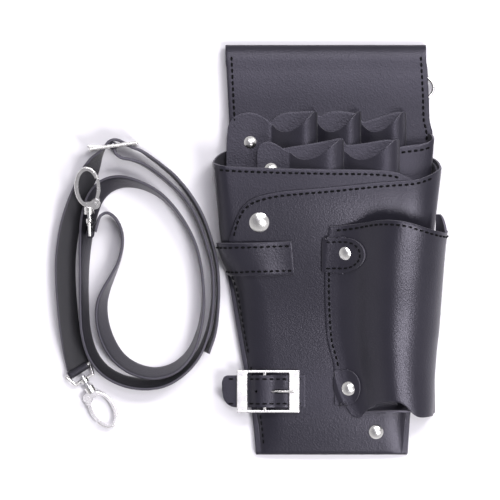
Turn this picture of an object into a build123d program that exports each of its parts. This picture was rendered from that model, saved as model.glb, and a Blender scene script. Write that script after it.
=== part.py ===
"""Hairdresser's shears holster lying on its back, with its detachable strap laid beside it.

Millimetres. +Z is up, out of the holster's front. +Y runs towards the holster's top fold, and +X to
its right as seen from the front. The origin is on the back panel's rest face.
"""
from build123d import *
import math
import os

os.makedirs("parts", exist_ok=True)

# ---- leather and thread ----
SKIN = 1.5                # thickness of the leather
BODY_FLOOR = 1.6          # height of the body's own back layer, just above the back panel
TUNNEL = 5.1              # height of the belt tunnel
GAP = 0.2                 # clearance between separate pieces of one body

# ---- back panel ----
TOP_Y = 130.0             # centre line of the top fold
BOTTOM_Y = -135.0
FLAP_Y = 40.0             # lower edge of the belt loop
TUNNEL_FLOOR_Y = 62.0     # where the tunnel starts
BACK_TOP_Z = 2 * SKIN + TUNNEL
BELT_HALF = 66.0          # half width of the fold at the top
FLAP_HALF = 54.0          # half width of the belt loop below it, which leaves the D-rings free
FLAP_WIDE_Y = 116.0       # the belt loop is as wide as the fold above this

# ---- body: stations down the front, (y, left x, right x, height of the front) ----
BODY = [
    (56, -75.8, 73.7, 36.0),
    (30, -72.7, 70.8, 34.5),
    (7, -70.1, 68.2, 29.0),
    (-16, -65.4, 65.6, 22.0),
    (-45, -60.6, 62.3, 13.0),
    (-75, -55.4, 58.8, 9.0),
    (-110, -49.0, 54.8, 9.0),
    (-134, -47.0, 53.2, 6.2),
]
# ---- rear pocket, inside the body: the same kind of stations ----
REAR = [(72, -71.5, 70.2, 21.5), (30, -69.6, 67.6, 21.3), (-20, -56.5, 57.0, 12.0)]

# ---- side pocket: (y, left x, right x, rise above the body) ----
SIDE = [(19, 1.3, 78.5, 20.0), (-30, -1.7, 75.2, 22.0), (-75, 4.0, 71.5, 22.0), (-109, 16.5, 69.6, 17.0)]
# its cross-section: (share of the width, share of the rise)
SIDE_HUMP = [(0.14, 0.03), (0.26, 0.22), (0.38, 0.62), (0.50, 0.93), (0.62, 1.0), (0.80, 0.82),
             (0.94, 0.38)]
SIDE_DROP = 9.5           # how far the side pocket's right wall reaches below the body's front

# ---- shears loops: x of the walls between the tubes ----
BACK_LOOPS = [-37.6, -5.6, 22.8, 52.1]
FRONT_LOOPS = [-26.0, 11.2, 47.5]
LOOP_HEIGHT = 10.6

# ---- pouch buckle ----
BUCKLE_Y = -93.0
BUCKLE_LEFT, BUCKLE_RIGHT = -59.5, -18.2
BUCKLE_BAR_X = -41.0
BUCKLE_HALF = 14.0
TONGUE_HALF = 10.5
BUCKLE_BAR_W = 7.0

# ---- strap ----
STRAP_W = 15.0
STRAP_T = 1.8
STEP = 13.0               # spacing of the strap's stations

# ---- hooks ----
EYE_WIRE = 1.1
BAR_U = -11.5             # the eye's bar, along the hook's axis
RING_U, RING_A, RING_B = 19.0, 13.5, 8.6
RING_WIRE = 2.6


def save(node, shape):
    shape.label = node
    export_step(shape, f"parts/{node}.step")


def between(table, y, column):
    """Value of one column of a station table at y, straight between stations."""
    rows = sorted(table)
    y = min(max(y, rows[0][0]), rows[-1][0])
    for low, high in zip(rows, rows[1:]):
        if y <= high[0]:
            f = (y - low[0]) / (high[0] - low[0])
            return low[column] + f * (high[column] - low[column])
    return rows[-1][column]


def front_z(y):
    return between(BODY, y, 3)


def block(x0, x1, y0, y1, z0, z1):
    return Pos((x0 + x1) / 2, (y0 + y1) / 2, (z0 + z1) / 2) * Box(x1 - x0, y1 - y0, z1 - z0)


def prism(points, z0, z1):
    """Upright prism over a closed outline of (x, y) points."""
    face = make_face(Polyline(*[(x, y) for x, y in points], close=True))
    return Pos(0, 0, z0) * extrude(face, z1 - z0, dir=(0, 0, 1))


def rod(x, y, z0, z1, r):
    return Pos(x, y, (z0 + z1) / 2) * Cylinder(r, z1 - z0)


def section(y, x0, x1, z0, z1, r):
    """Rounded rectangle across the holster at y."""
    plane = Plane(origin=((x0 + x1) / 2, y, (z0 + z1) / 2), x_dir=(1, 0, 0), z_dir=(0, -1, 0))
    return plane * RectangleRounded(x1 - x0, z1 - z0, r)


def tube(stations, floor, grow, radius=10.0):
    """Straight-sided loft through a station table, grown outwards by grow."""
    faces = []
    for y, x0, x1, z1 in stations:
        low, high = floor - grow, z1 + grow
        r = min(radius + grow, (high - low) / 2 - 0.2)
        faces.append(section(y, x0 - grow, x1 + grow, low, high, r))
    return loft(faces, ruled=True)


def past_ends(stations, above, below):
    """The same table carried on past both ends."""
    first, last = stations[0], stations[-1]
    return [(first[0] + above,) + first[1:]] + list(stations) + [(last[0] - below,) + last[1:]]


def back_profile(drop=0.0):
    """Points along the back panel's underside, from the bottom edge to the top fold."""
    step = SKIN + 0.1
    top = SKIN + TUNNEL
    return [(BOTTOM_Y - drop, 0), (28, 0), (38, step), (50, step), (TUNNEL_FLOOR_Y, top), (TOP_Y, top)]


def extrude_x(points, half):
    """Extrude a closed (y, z) outline across the holster, from -half to half."""
    face = make_face(Plane.YZ * Polyline(*points, close=True))
    return Pos(-half, 0, 0) * extrude(face, 2 * half, dir=(1, 0, 0))


def below_back():
    """Everything at or under the back panel's upper face, for trimming what lies on it."""
    top = [(y, z + SKIN) for y, z in back_profile(drop=20)]
    return extrude_x(top + [(TOP_Y + 20, BACK_TOP_Z), (TOP_Y + 20, -20), (BOTTOM_Y - 20, -20)], 120)


def body_skin(grow):
    """The holster's front as a filled solid, grown by grow."""
    return tube(past_ends(BODY, 12, 6), BODY_FLOOR, grow)


def side_hump(grow, inset):
    """The side pocket as a filled solid. inset thins its right-hand wall."""
    faces = []
    for y, x0, x1, rise in (past_ends(SIDE, 3, 3) if inset else SIDE):
        base = front_z(y) + SKIN + 0.05 + grow
        left, right = x0 - max(grow - SKIN, 0.0), x1 - inset + max(grow - SKIN, 0.0)
        width = right - left
        top = [(left, y, base)]
        top += [(left + u * width, y, base + rise * h) for u, h in SIDE_HUMP]
        top += [(right, y, base - 2.0), (right - 0.9, y, base - SIDE_DROP + 3)]
        floor = max(base - SIDE_DROP - 2, 0.3 + inset)
        hump = Spline(*top)
        foot = Polyline(top[-1], (right - 5.0, y, floor), (left, y, floor), top[0])
        faces.append(make_face(Wire([*hump.edges(), *foot.edges()])))
    return loft(faces, ruled=True)


def rivet(x, y, z_low, z_high, cap_r, cap_h=1.7, tail_r=3.4):
    """Dome-cap rivet: cap above z_high, shank, and a flat tail set flush at z_low."""
    dome_r = (cap_r ** 2 + cap_h ** 2) / (2 * cap_h)
    dome = Pos(x, y, z_high + cap_h - dome_r) * Sphere(dome_r)
    cap = dome & rod(x, y, z_high, z_high + cap_h, cap_r)
    return cap + rod(x, y, z_low, z_high, 1.5) + rod(x, y, z_low, z_low + 0.6, tail_r)


def side_rise(x, y):
    """Height of the side pocket's underside above the body at (x, y), and its slope in x."""
    left, right, rise = (between(SIDE, y, c) for c in (1, 2, 3))
    u = max((x - left) / (right - left), 0.0)
    humps = [(0.0, 0.0)] + SIDE_HUMP
    for (u0, h0), (u1, h1) in zip(humps, humps[1:]):
        if u <= u1:
            slope = (h1 - h0) / (u1 - u0)
            return rise * (h0 + slope * (u - u0)), rise * slope / (right - left)
    return 0.0, 0.0


def on_front(x, y, layers, on_side=False):
    """The outer face of the leather at (x, y), as a place whose Z is its normal."""
    rise, slope_x = side_rise(x, y) if on_side else (0.0, 0.0)
    slope_y = (front_z(y + 1) - front_z(y - 1)) / 2
    place = Pos(x, y, front_z(y) + layers * SKIN + rise)
    return place * Rot(math.degrees(math.atan(slope_y)), -math.degrees(math.atan(slope_x)), 0)


def front_rivets():
    """Name, place, clamped depth, cap radius and cap rise of each rivet on the front."""
    return {
        "overlay_snap": (on_front(*SNAP, 1), 2 * SKIN + 0.1, 7.0, 2.4),
        "upper_tab_rivet": (on_front(*UPPER_RIVET, 3, True), 4 * SKIN + 0.4, 5.0, 1.8),
        "lower_tab_rivet": (on_front(*LOWER_RIVET, 3, True), 4 * SKIN + 0.4, 4.6, 1.8),
        "bottom_rivet": (on_front(*BOTTOM_RIVET, 1), 2 * SKIN + 0.1, 4.7, 1.7),
    }


def front_rivet(place, depth, cap_r, cap_h, leather):
    one = place * rivet(0, 0, -depth - 0.75, 0.12, cap_r, cap_h, 2.6)
    for sheet in leather:
        one -= sheet
    return one.solids().sort_by(SortBy.VOLUME)[-1]


def drill(sheet):
    """Take every front rivet's hole out of a sheet of leather."""
    for place, _, _, _ in front_rivets().values():
        sheet -= place * rod(0, 0, -14, 10, 1.6)
    return sheet


def rivet_seat(x, y, z_low, z_high):
    """What a rivet takes out of the leather."""
    return rod(x, y, z_low - 0.1, z_high + 0.1, 1.55) + rod(x, y, z_low - 3.0, z_low + 0.6, 3.5)


# ---- rivets: name, list of (x, y), tail height, cap height, cap radius, cap rise ----
SNAP = (-44.7, 18.1)
UPPER_RIVET = (10.9, -2.3)
LOWER_RIVET = (14.1, -91.1)
BOTTOM_RIVET = (32.3, -119.8)
LOOP_RIVET_BACK = (-50.6, 70.8)
LOOP_RIVET_FRONT = (-37.0, 52.8)
BELT_RIVETS = [(-38.0, 45.0), (38.0, 45.0)]
CHAPE_RIVETS = [(-44.0, 107.0), (50.0, 107.0)]


# ================= holster leather =================

def back_panel():
    low = back_profile()
    high = [(y, z + SKIN) for y, z in reversed(low)]
    sheet = extrude_x(low + high, 90)
    outline = prism([(-66.5, TOP_Y), (66.5, TOP_Y), (67.5, 85), (66, 60), (54.8, -110), (53.2, BOTTOM_Y),
                     (-46.8, BOTTOM_Y), (-49, -107), (-64, 0), (-64.7, 85)], -5, 20)
    panel = sheet & outline
    panel -= rivet_seat(*LOOP_RIVET_BACK, SKIN + TUNNEL, 12)
    for x, y in BELT_RIVETS:
        panel -= rod(x, y, -1, 9, 1.55)
    return panel


def belt_loop():
    outer = TOP_Y, BACK_TOP_Z / 2
    ring = Cylinder(BACK_TOP_Z / 2, 2 * BELT_HALF) - Cylinder(TUNNEL / 2, 2 * BELT_HALF + 2)
    ring = Pos(0, outer[0], outer[1]) * Rot(0, 90, 0) * ring
    ring &= block(-90, 90, TOP_Y, TOP_Y + 20, -5, 20)
    loop = ring + block(-BELT_HALF, BELT_HALF, FLAP_WIDE_Y, TOP_Y, 0, SKIN)
    loop += block(-FLAP_HALF, FLAP_HALF, FLAP_Y, FLAP_WIDE_Y, 0, SKIN)
    for x, y in BELT_RIVETS + CHAPE_RIVETS:
        loop -= rivet_seat(x, y, 0, 6)
    return loop


def belt_rivets():
    return Compound([rivet(x, y, 0, 3.15 - 0.05, 4.0, 1.2) for x, y in BELT_RIVETS])


def loops(walls, y0, y1, z0, tongue):
    """A row of flattened tubes in one strip of leather, with a riveted tongue at its left."""
    row = None
    bore = None
    for left, right in zip(walls, walls[1:]):
        outer = section(y0, left - SKIN / 2, right + SKIN / 2, z0, z0 + LOOP_HEIGHT, 4.5)
        inner = section(y0 - 1, left + SKIN / 2, right - SKIN / 2, z0 + SKIN, z0 + LOOP_HEIGHT - SKIN, 3.2)
        one = extrude(outer, y1 - y0, dir=(0, 1, 0))
        hole = extrude(inner, y1 - y0 + 2, dir=(0, 1, 0))
        scoop = [(left - 1, y1 + 1), (left - 1, y1 - 11), (left + 8, y1 - 13), (right - 7, y1 - 6),
                 (right - 3, y1 + 1)]
        one -= prism(scoop, z0 + LOOP_HEIGHT - 4, z0 + LOOP_HEIGHT + 2)
        row = one if row is None else row + one
        bore = hole if bore is None else bore + hole
    plate = prism(tongue, z0, z0 + SKIN)
    return (row + plate) - bore


def shears_loops_back():
    tongue = [(-36, 78), (-49.8, 90), (-58, 90.4), (-64, 84), (-65.8, 72), (-65.0, 50), (-36, 50)]
    return loops(BACK_LOOPS, 32, 91, BACK_TOP_Z + GAP, tongue) - rod(*LOOP_RIVET_BACK, 0, 15, 1.55)


def shears_loops_front():
    tongue = [(-24, 64), (-34, 70), (-42, 70.8), (-45.5, 66), (-46, 40), (-24, 40)]
    return loops(FRONT_LOOPS, 32, 72.5, REAR[0][3] + GAP, tongue) - rod(*LOOP_RIVET_FRONT, 0, 30, 1.55)


def pocket(stations, floor):
    """Pocket closed at its lower end and open at the top."""
    outer = tube(stations, floor, 0.0)
    last = stations[-1]
    hollow = [(stations[0][0] + 3,) + stations[0][1:]] + list(stations[:-1])
    hollow.append((last[0] + SKIN,) + last[1:])
    return outer - tube(hollow, floor, -SKIN)


def rear_pocket():
    shell = pocket(REAR, 3.3) - below_back()
    for x, y in BELT_RIVETS:
        shell -= rod(x, y, 0, 5.0, 4.4)
    return shell - rod(*LOOP_RIVET_FRONT, 10, 30, 1.55)


def front_pocket():
    return drill(pocket(BODY, BODY_FLOOR) - below_back())


def over_skin(inner, outer, outline):
    """A sheet that lies on the body between two growths, cut to an outline."""
    return (body_skin(outer) - body_skin(inner)) & prism(outline, 6, 90)


def front_overlay():
    curve = [(-64.2, -134), (-64.1, 6.9), (-63, 11.2), (-60.3, 19.5), (-55.9, 27.7), (-45.5, 34.8),
             (-25.7, 38.6), (1.6, 40.9), (32.3, 44), (58.1, 45.5), (72, 49), (72, -134)]
    return drill(over_skin(0.03, SKIN, curve) & block(-90, 90, BOTTOM_Y + 1, 60, 0, 90))


def tool_band():
    """Strip sewn down at both ends, with room under its middle."""
    y0, y1 = -15.5, 6.3
    room = 2.5
    z_low, z_high = front_z(y0) + SKIN, front_z(y1) + SKIN
    tilt = math.degrees(math.atan2(z_high - z_low, y1 - y0))
    line = [(-69.5, 0.25), (-64, 0.4), (-60, room), (-33, room), (-29, 0.4), (-22, 0.4)]
    top = [(x, z + SKIN) for x, z in reversed(line)]
    face = make_face(Plane.XZ * Polyline(*line, *top, close=True))
    strip = extrude(face, (y1 - y0) / 2, both=True)
    return Pos(0, (y0 + y1) / 2, (z_low + z_high) / 2) * Rot(tilt, 0, 0) * strip - body_skin(SKIN)


def side_pocket():
    shell = side_hump(SKIN, 0.0) - side_hump(0.0, SKIN) - body_skin(SKIN + 0.02)
    arch = [(20, -111), (26.7, -106.5), (36.8, -101.6), (44.4, -99.9), (51.9, -103), (57, -108), (58, -111)]
    return drill(shell - prism(arch, 13, 60) - below_back())


def side_pocket_base():
    inner = side_hump(-0.2, SKIN + 0.35) - body_skin(SKIN + 0.05)
    return inner & block(0, 90, -108.6, -107.1, 0, 60)


def tab(outline):
    sheet = side_hump(2 * SKIN, 0.0) - side_hump(SKIN + 0.02, 0.0) - body_skin(SKIN + 0.02)
    return drill(sheet & prism(outline, 6, 90))


def d_outline(x0, x1, y0, y1):
    """Square at the left, rounded at the right."""
    middle, half = (y0 + y1) / 2, (y1 - y0) / 2
    turns = [math.radians(a) for a in range(-90, 91, 15)]
    reach = (x1 - x0) * 0.55
    curve = [(x1 - reach + reach * math.cos(a), middle + half * math.sin(a)) for a in turns]
    return [(x0, y0)] + curve + [(x0, y1)]


# ================= D-rings =================

RING_LEFT_X = 55.0        # bar of the left ring, which lies under the back panel
RING_RIGHT_X = 61.0       # bar of the right ring, whose bow shows past the edge
RING_Y = 107.0
RING_Z = SKIN + 2.35


def d_ring(bar_x, hand):
    """Wire ring whose straight bar lies in the chape. hand is 1 for a bow to the right, -1 to the left."""
    r = 1.1
    inner = 7.0
    low, high = (0, -inner, 0), (0, inner, 0)
    arc = ThreePointArc(high, (9.2, 0, 0), low)
    bar = Rot(90, 0, 0) * Cylinder(r, 2 * inner)
    bow = sweep(Plane(origin=arc @ 0, z_dir=arc % 0) * Circle(r), path=arc)
    ring = bar + bow + Pos(*low) * Sphere(r) + Pos(*high) * Sphere(r)
    if hand < 0:
        ring = mirror(ring, about=Plane.YZ)
    return Pos(hand * bar_x, RING_Y, RING_Z) * ring


def d_chape(bar_x, hand, rivet_at):
    """Leather loop round the ring's bar, riveted to the belt loop inside the tunnel."""
    t, r = 1.0, 1.2
    half = 5.6
    low = SKIN + 0.1 - RING_Z
    barrel = Rot(90, 0, 0) * Cylinder(r + t, 2 * half)
    leather = barrel + block(-16, 0, -half, half, low, low + 2 * t)
    leather -= Rot(90, 0, 0) * Cylinder(r, 2 * half + 2)
    if hand < 0:
        leather = mirror(leather, about=Plane.YZ)
    return Pos(hand * bar_x, RING_Y, RING_Z) * leather - rod(*rivet_at, 0, 9, 1.55)


def chape_rivets():
    return Compound([rivet(x, y, 0, SKIN + 2.15, 3.4, 0.9) for x, y in CHAPE_RIVETS])


# ================= pouch buckle =================

BUCKLE_Z = front_z(BUCKLE_Y) + SKIN      # the leather face that the buckle lies on
BAR_Z = BUCKLE_Z + 2.5                   # centre of the buckle's middle bar
FRAME_Z = BUCKLE_Z + 1.9                 # underside of the end bars


def buckle_frame():
    y0, y1 = BUCKLE_Y - BUCKLE_HALF, BUCKLE_Y + BUCKLE_HALF
    t = 1.7
    left = block(BUCKLE_LEFT, BUCKLE_LEFT + BUCKLE_BAR_W, y0, y1, FRAME_Z, FRAME_Z + t)
    right = block(BUCKLE_RIGHT - BUCKLE_BAR_W, BUCKLE_RIGHT, y0, y1, FRAME_Z, FRAME_Z + t)
    rails = block(BUCKLE_LEFT, BUCKLE_RIGHT, y0, y0 + 1.8, FRAME_Z, FRAME_Z + t)
    rails += block(BUCKLE_LEFT, BUCKLE_RIGHT, y1 - 1.8, y1, FRAME_Z, FRAME_Z + t)
    frame = left + right + rails
    frame = fillet(frame.edges().filter_by(Axis.Z).group_by(SortBy.LENGTH)[-1], 0.6)
    rim = frame.faces().sort_by(Axis.Z)[-1].edges()
    frame = fillet(rim, 0.45)
    bar = Pos(BUCKLE_BAR_X, BUCKLE_Y, BAR_Z) * Rot(90, 0, 0) * Cylinder(1.2, 2 * BUCKLE_HALF - 2)
    return frame + bar


def buckle_prong():
    """Turns on the middle bar; its tip rests on the right-hand bar."""
    y = BUCKLE_Y
    knuckle = Pos(BUCKLE_BAR_X, y, BAR_Z) * Rot(90, 0, 0) * Cylinder(2.2, 2.4)
    rest_z = FRAME_Z + 1.7 + 1.3
    length = 19.0
    rise = math.degrees(math.asin((rest_z - BAR_Z) / length))
    shank = Pos(BUCKLE_BAR_X, y, BAR_Z) * Rot(0, -rise, 0) * (Pos(length / 2, 0, 0) * Rot(0, 90, 0)
                                                              * Cylinder(0.9, length))
    tip = Pos(BUCKLE_BAR_X, y, BAR_Z) * Rot(0, -rise, 0) * Pos(length, 0, 0) * Sphere(0.9)
    prong = knuckle + shank + tip
    return prong - Pos(BUCKLE_BAR_X, y, BAR_Z) * Rot(90, 0, 0) * Cylinder(1.25, 9)


def buckle_chape():
    """Leather fold that holds the middle bar, sewn to the front."""
    y, t = BUCKLE_Y, 0.9
    half = 9.0
    barrel = Pos(BUCKLE_BAR_X, y, BAR_Z) * Rot(90, 0, 0) * Cylinder(2.3, 2 * half)
    tail = block(BUCKLE_BAR_X - 8, BUCKLE_BAR_X, y - half, y + half, BUCKLE_Z + 0.08, BUCKLE_Z + 0.08 + t)
    leather = barrel + tail
    leather -= Pos(BUCKLE_BAR_X, y, BAR_Z) * Rot(90, 0, 0) * Cylinder(1.3, 40)
    return leather - block(BUCKLE_BAR_X - 3, BUCKLE_BAR_X + 5, y - 1.6, y + 1.6, BUCKLE_Z, BAR_Z + 6)


def buckle_strap():
    """Sewn down at its right end, over the middle bar, under both end bars, tip past the edge."""
    z = BUCKLE_Z + 0.15
    over = BAR_Z + 2.3 + 0.3
    line = [(-69.3, z + 0.2), (-51.5, z + 0.2), (-45, over - 0.3), (-41, over), (-37, over - 0.3),
            (-26.5, z), (-14.5, z)]
    top = [(x, h + 1.4) for x, h in reversed(line)]
    face = make_face(Plane.XZ * Polyline(*line, *top, close=True))
    sheet = Pos(0, BUCKLE_Y, 0) * extrude(face, TONGUE_HALF, both=True)
    y0, y1 = BUCKLE_Y - TONGUE_HALF, BUCKLE_Y + TONGUE_HALF
    tip = [(-14.5, y0), (-14.5, y1), (-66, y1), (-68.5, y1 - 3), (-69.2, y1 - 9), (-66, y0 + 4), (-60, y0)]
    sheet &= prism(tip, 0, 40)
    sheet -= rod(-46.8, BUCKLE_Y, 0, 40, 0.9)
    slot = block(-35.5, -28, BUCKLE_Y - 1.5, BUCKLE_Y + 1.5, 0, 40)
    slot += rod(-28, BUCKLE_Y, 0, 40, 1.5) + rod(-35.5, BUCKLE_Y, 0, 40, 1.5)
    return sheet - slot


# ================= strap =================

# centre line of the strap that ends at the lower hook and runs through the strap buckle:
# x, y, angle of its width above the table, lift
HOLED_ROUTE = [
    (-164, -78, 4, 1.6), (-166, -70, 8, 0.9), (-168, -61, 20, 0), (-170, -50, 28, 0), (-171.5, -36, 30, 0),
    (-172.5, -20, 30, 0), (-172.5, -6, 30, 0), (-171, 8, 31, 0), (-168.5, 20, 33, 0), (-165, 31, 36, 0),
    (-161, 41, 40, 0), (-156.5, 51, 45, 0), (-152.6, 58.6, 62, 0.8), (-149.5, 63.3, 80, 2.2),
    (-146.5, 67.6, 90, 3), (-143.8, 71.1, 90, 3), (-140.6, 72.6, 90, 3), (-136.6, 72.0, 90, 3),
    (-131.6, 69.2, 90, 3), (-126.8, 67.0, 90, 3), (-122.7, 65.4, 89, 2.5), (-117, 61.6, 87, 1.5),
    (-109, 55.6, 86, 0.5), (-101, 48.8, 85, 0), (-91, 37, 85, 0),
    (-82.2, 22, 85, 0), (-75.6, 3, 86, 0), (-72.6, -10.5, 87, 0), (-71.6, -25, 87, 0), (-72.2, -39, 86, 0),
    (-74.6, -55, 83, 0), (-79.4, -67.6, 78, 0),
]
# centre line of the strap that starts on the strap buckle's middle bar and ends at the upper hook
PLAIN_ROUTE = [
    (-140.1, 66.7, 90, 3), (-139.2, 63.4, 90, 3), (-135.6, 60.8, 90, 2.8), (-129, 59.4, 89, 2),
    (-122, 56.8, 87, 1), (-114.5, 52.2, 86, 0.3),
    (-105, 44.8, 85, 0), (-94.5, 34.4, 85, 0), (-86, 20.8, 85, 0), (-79.4, 2.5, 86, 0), (-76, -11, 87, 0),
    (-75.1, -25, 87, 0), (-75.7, -38.5, 86, 0), (-78.6, -54, 83, 0), (-85, -69, 78, 0), (-95.5, -80, 70, 0),
    (-108, -87, 66, 0), (-122, -88.6, 65, 0), (-136, -85.6, 65, 0), (-147, -79, 65, 0),
    (-154.5, -69, 66, 0), (-159, -54, 68, 0), (-160.2, -36, 70, 0), (-160.2, -16, 70, 0),
    (-159.4, 4, 62, 0), (-157.2, 21, 50, 0), (-153, 34, 46, 0), (-146.5, 41.5, 48, 0), (-136.5, 45, 60, 0),
    (-124, 43.2, 74, 0), (-112, 37.6, 80, 0), (-102.3, 29, 84, 0), (-93.8, 17.5, 86, 0),
    (-87, 4, 87, 0), (-83.4, -10, 88, 0), (-81.6, -25, 88, 0), (-81.8, -39, 86, 0), (-84.2, -53, 82, 0),
    (-90, -67.5, 74, 0), (-100, -77.5, 66, 0), (-113, -81.4, 62, 0), (-126.5, -78.6, 60, 0),
    (-137, -71.4, 58, 0), (-144.4, -60, 57, 0), (-148.4, -46, 60, 0), (-148.2, -34, 66, 0),
    (-145.6, -26, 74, 0), (-141.6, -17.5, 82, 0), (-137.4, -8, 88, 0), (-134.8, 3.5, 90, 0),
    (-135.5, 13, 90, 0.5), (-139.5, 21, 90, 2), (-144.6, 24.4, 90, 4.5), (-149, 22.6, 89, 7),
    (-151.4, 17.2, 86, 8), (-153.2, 12.1, 82, 8.4),
]


def marks(line, run):
    """Samples to put stations at: closer together where the line turns."""
    picked = [0]
    for i in range(1, 800):
        turned = (line % (picked[-1] / 800)).get_angle(line % (i / 800))
        gone = run[i] - run[picked[-1]]
        if run[-1] - run[i] > 2 and (gone > STEP or (turned > 13 and gone > 1.5)):
            picked.append(i)
    return picked + [800]


def stations(route):
    """Evenly spaced (x, y, direction, lean, lift) along the smooth line through a route."""
    line = Spline(*[(x, y, 0) for x, y, _, _ in route])
    fine = [line @ (i / 800) for i in range(801)]
    run = [0.0]
    for a, b in zip(fine, fine[1:]):
        run.append(run[-1] + (b - a).length)
    knots = []
    for x, y, _, _ in route:
        nearest = min(range(801), key=lambda i: (fine[i] - Vector(x, y, 0)).length)
        knots.append(run[nearest])
    rows = []
    for i in marks(line, run):
        s = run[i]
        k = max([j for j, knot in enumerate(knots[:-1]) if knot <= s + 1e-6])
        f = min((s - knots[k]) / (knots[k + 1] - knots[k]), 1.0)
        lean, lift = (route[k][c] + f * (route[k + 1][c] - route[k][c]) for c in (2, 3))
        rows.append((fine[i], line % (i / 800), lean, lift))
    return rows, run[-1]


def ribbon(route):
    """Flat strap along a route. Its upper edge leans to the left of the way it runs."""
    rows, length = stations(route)
    faces = []
    for at, way, lean, lift in rows:
        c, s = math.cos(math.radians(lean)), math.sin(math.radians(lean))
        out = Vector(-way.Y, way.X, 0).normalized()
        across = out * c + Vector(0, 0, s)
        through = Vector(0, 0, c) - out * s
        mid = at + Vector(0, 0, STRAP_W / 2 * s + STRAP_T / 2 * c + lift)
        a, b = across * (STRAP_W / 2), through * (STRAP_T / 2)
        corners = [mid - a - b, mid + a - b, mid + a + b, mid - a + b]
        faces.append(make_face(Polyline(*corners, close=True)))
    return loft(faces, ruled=True), length


# ---- strap buckle, standing on edge: its middle bar is upright ----
S_BAR = (-140.6, 68.6)          # middle bar
S_WAY = 8.0                     # degrees its length is turned from +X
S_HALF_L, S_Z0, S_Z1 = 15.2, 0.0, 21.0
S_WIRE = 1.25


def strap_buckle_place():
    return Pos(S_BAR[0], S_BAR[1], 0) * Rot(0, 0, S_WAY)


def strap_buckle_frame():
    w = S_WIRE
    frame = None
    for x in (-S_HALF_L, 0, S_HALF_L):
        post = rod(x, 0 if x == 0 else -0.4, S_Z0 + w, S_Z1 - w, w)
        frame = post if frame is None else frame + post
    for z in (S_Z0 + w, S_Z1 - w):
        rail = Pos(0, -0.2, z) * Rot(0, 90, 0) * Cylinder(w, 2 * S_HALF_L)
        frame += rail
        for x in (-S_HALF_L, S_HALF_L):
            frame += Pos(x, -0.2, z) * Sphere(w * 1.02)
    return strap_buckle_place() * frame


PRONG_Z = (S_Z0 + S_Z1) / 2


def strap_buckle_prong():
    """Turns on the upright middle bar; its tip rests outside the left-hand bar."""
    length = S_HALF_L + 1.5
    rise = math.degrees(math.asin((S_WIRE + 1.0 - 0.4) / S_HALF_L))
    shank = Rot(0, 0, -rise) * (Pos(-length / 2, 0, 0) * Rot(0, 90, 0) * Cylinder(0.9, length))
    tip = Rot(0, 0, -rise) * Pos(-length, 0, 0) * Sphere(0.9)
    prong = Cylinder(2.3, 2.4) + shank + tip
    prong -= Cylinder(S_WIRE + 0.05, 6)
    return strap_buckle_place() * Pos(0, 0, PRONG_Z) * prong


# ---- hooks ----
# place of each hook: its axis starts at the swivel, u runs to the hook's nose, v across, w its face
HOOK_LOW = Plane(origin=(-158.0, -89.0, 3.1), x_dir=(0.53, -0.848, 0), z_dir=(0, 0, 1))
HOOK_HIGH = Plane(origin=(-156.4, 22.6, 16.0), x_dir=(-0.06, 0.985, 0.16), z_dir=(-0.0097, -0.16, 0.987))


def eye(flat):
    """Wire loop for the strap, with a collar for the swivel. flat lies in the hook's own plane."""
    w, half = EYE_WIRE, STRAP_W / 2 + 0.6 + EYE_WIRE
    near = -4.2
    loop = None
    corners = [(BAR_U, -half), (BAR_U, half), (near, half - 2.5), (near, -half + 2.5)]
    for (u0, v0), (u1, v1) in zip(corners, corners[1:] + corners[:1]):
        run = math.hypot(u1 - u0, v1 - v0)
        turn = math.degrees(math.atan2(v1 - v0, u1 - u0))
        piece = Pos((u0 + u1) / 2, (v0 + v1) / 2, 0) * Rot(0, 0, turn) * Rot(0, 90, 0) * Cylinder(w, run)
        piece += Pos(u0, v0, 0) * Sphere(w)
        loop = piece if loop is None else loop + piece
    collar = Pos(-3.3, 0, 0) * Rot(0, 90, 0) * Cylinder(2.6, 3.0)
    loop += collar
    loop -= Pos(-2.5, 0, 0) * Rot(0, 90, 0) * Cylinder(1.35, 7)
    return loop if flat else Rot(90, 0, 0) * loop


def post():
    """Swivel stud: headed inside the eye, its other end in the hook body."""
    stud = Pos(-1.85, 0, 0) * Rot(0, 90, 0) * Cylinder(1.3, 7.7)
    return stud + Pos(-6.15, 0, 0) * Rot(0, 90, 0) * Cylinder(2.0, 1.1)


def oval(a, b, height):
    return extrude(Ellipse(a, b), height / 2, both=True)


def wedge(a0, a1, r=40):
    turns = [math.radians(a0 + (a1 - a0) * i / 8) for i in range(9)]
    return Pos(RING_U, 0, 0) * prism([(0, 0)] + [(r * math.cos(a), r * math.sin(a)) for a in turns], -6, 6)


PIVOT = (7.6, -4.4)
GATE_FROM, GATE_TO = 205.0, 305.0
GATE_ROOM = 4.8           # radius that the gate's root sweeps between the cheeks
GATE_SWING = 17.1         # radius that the gate's free end sweeps past the hook's nose
NOSE_AT, NOSE_SIZE = (22.5, -6.5), (6.0, 4.5)
FLARE_AT, FLARE_SIZE = 4.2, (15.0, 10.0, 8.0)      # strap edge trimmed beside the upper eye


def hook_ring(height, shrink=0.0):
    outer = oval(RING_A - shrink, RING_B - shrink, height)
    inner = oval(RING_A - RING_WIRE + shrink, RING_B - RING_WIRE + shrink, height + 2)
    return Pos(RING_U, 0, 0) * (outer - inner)


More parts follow.
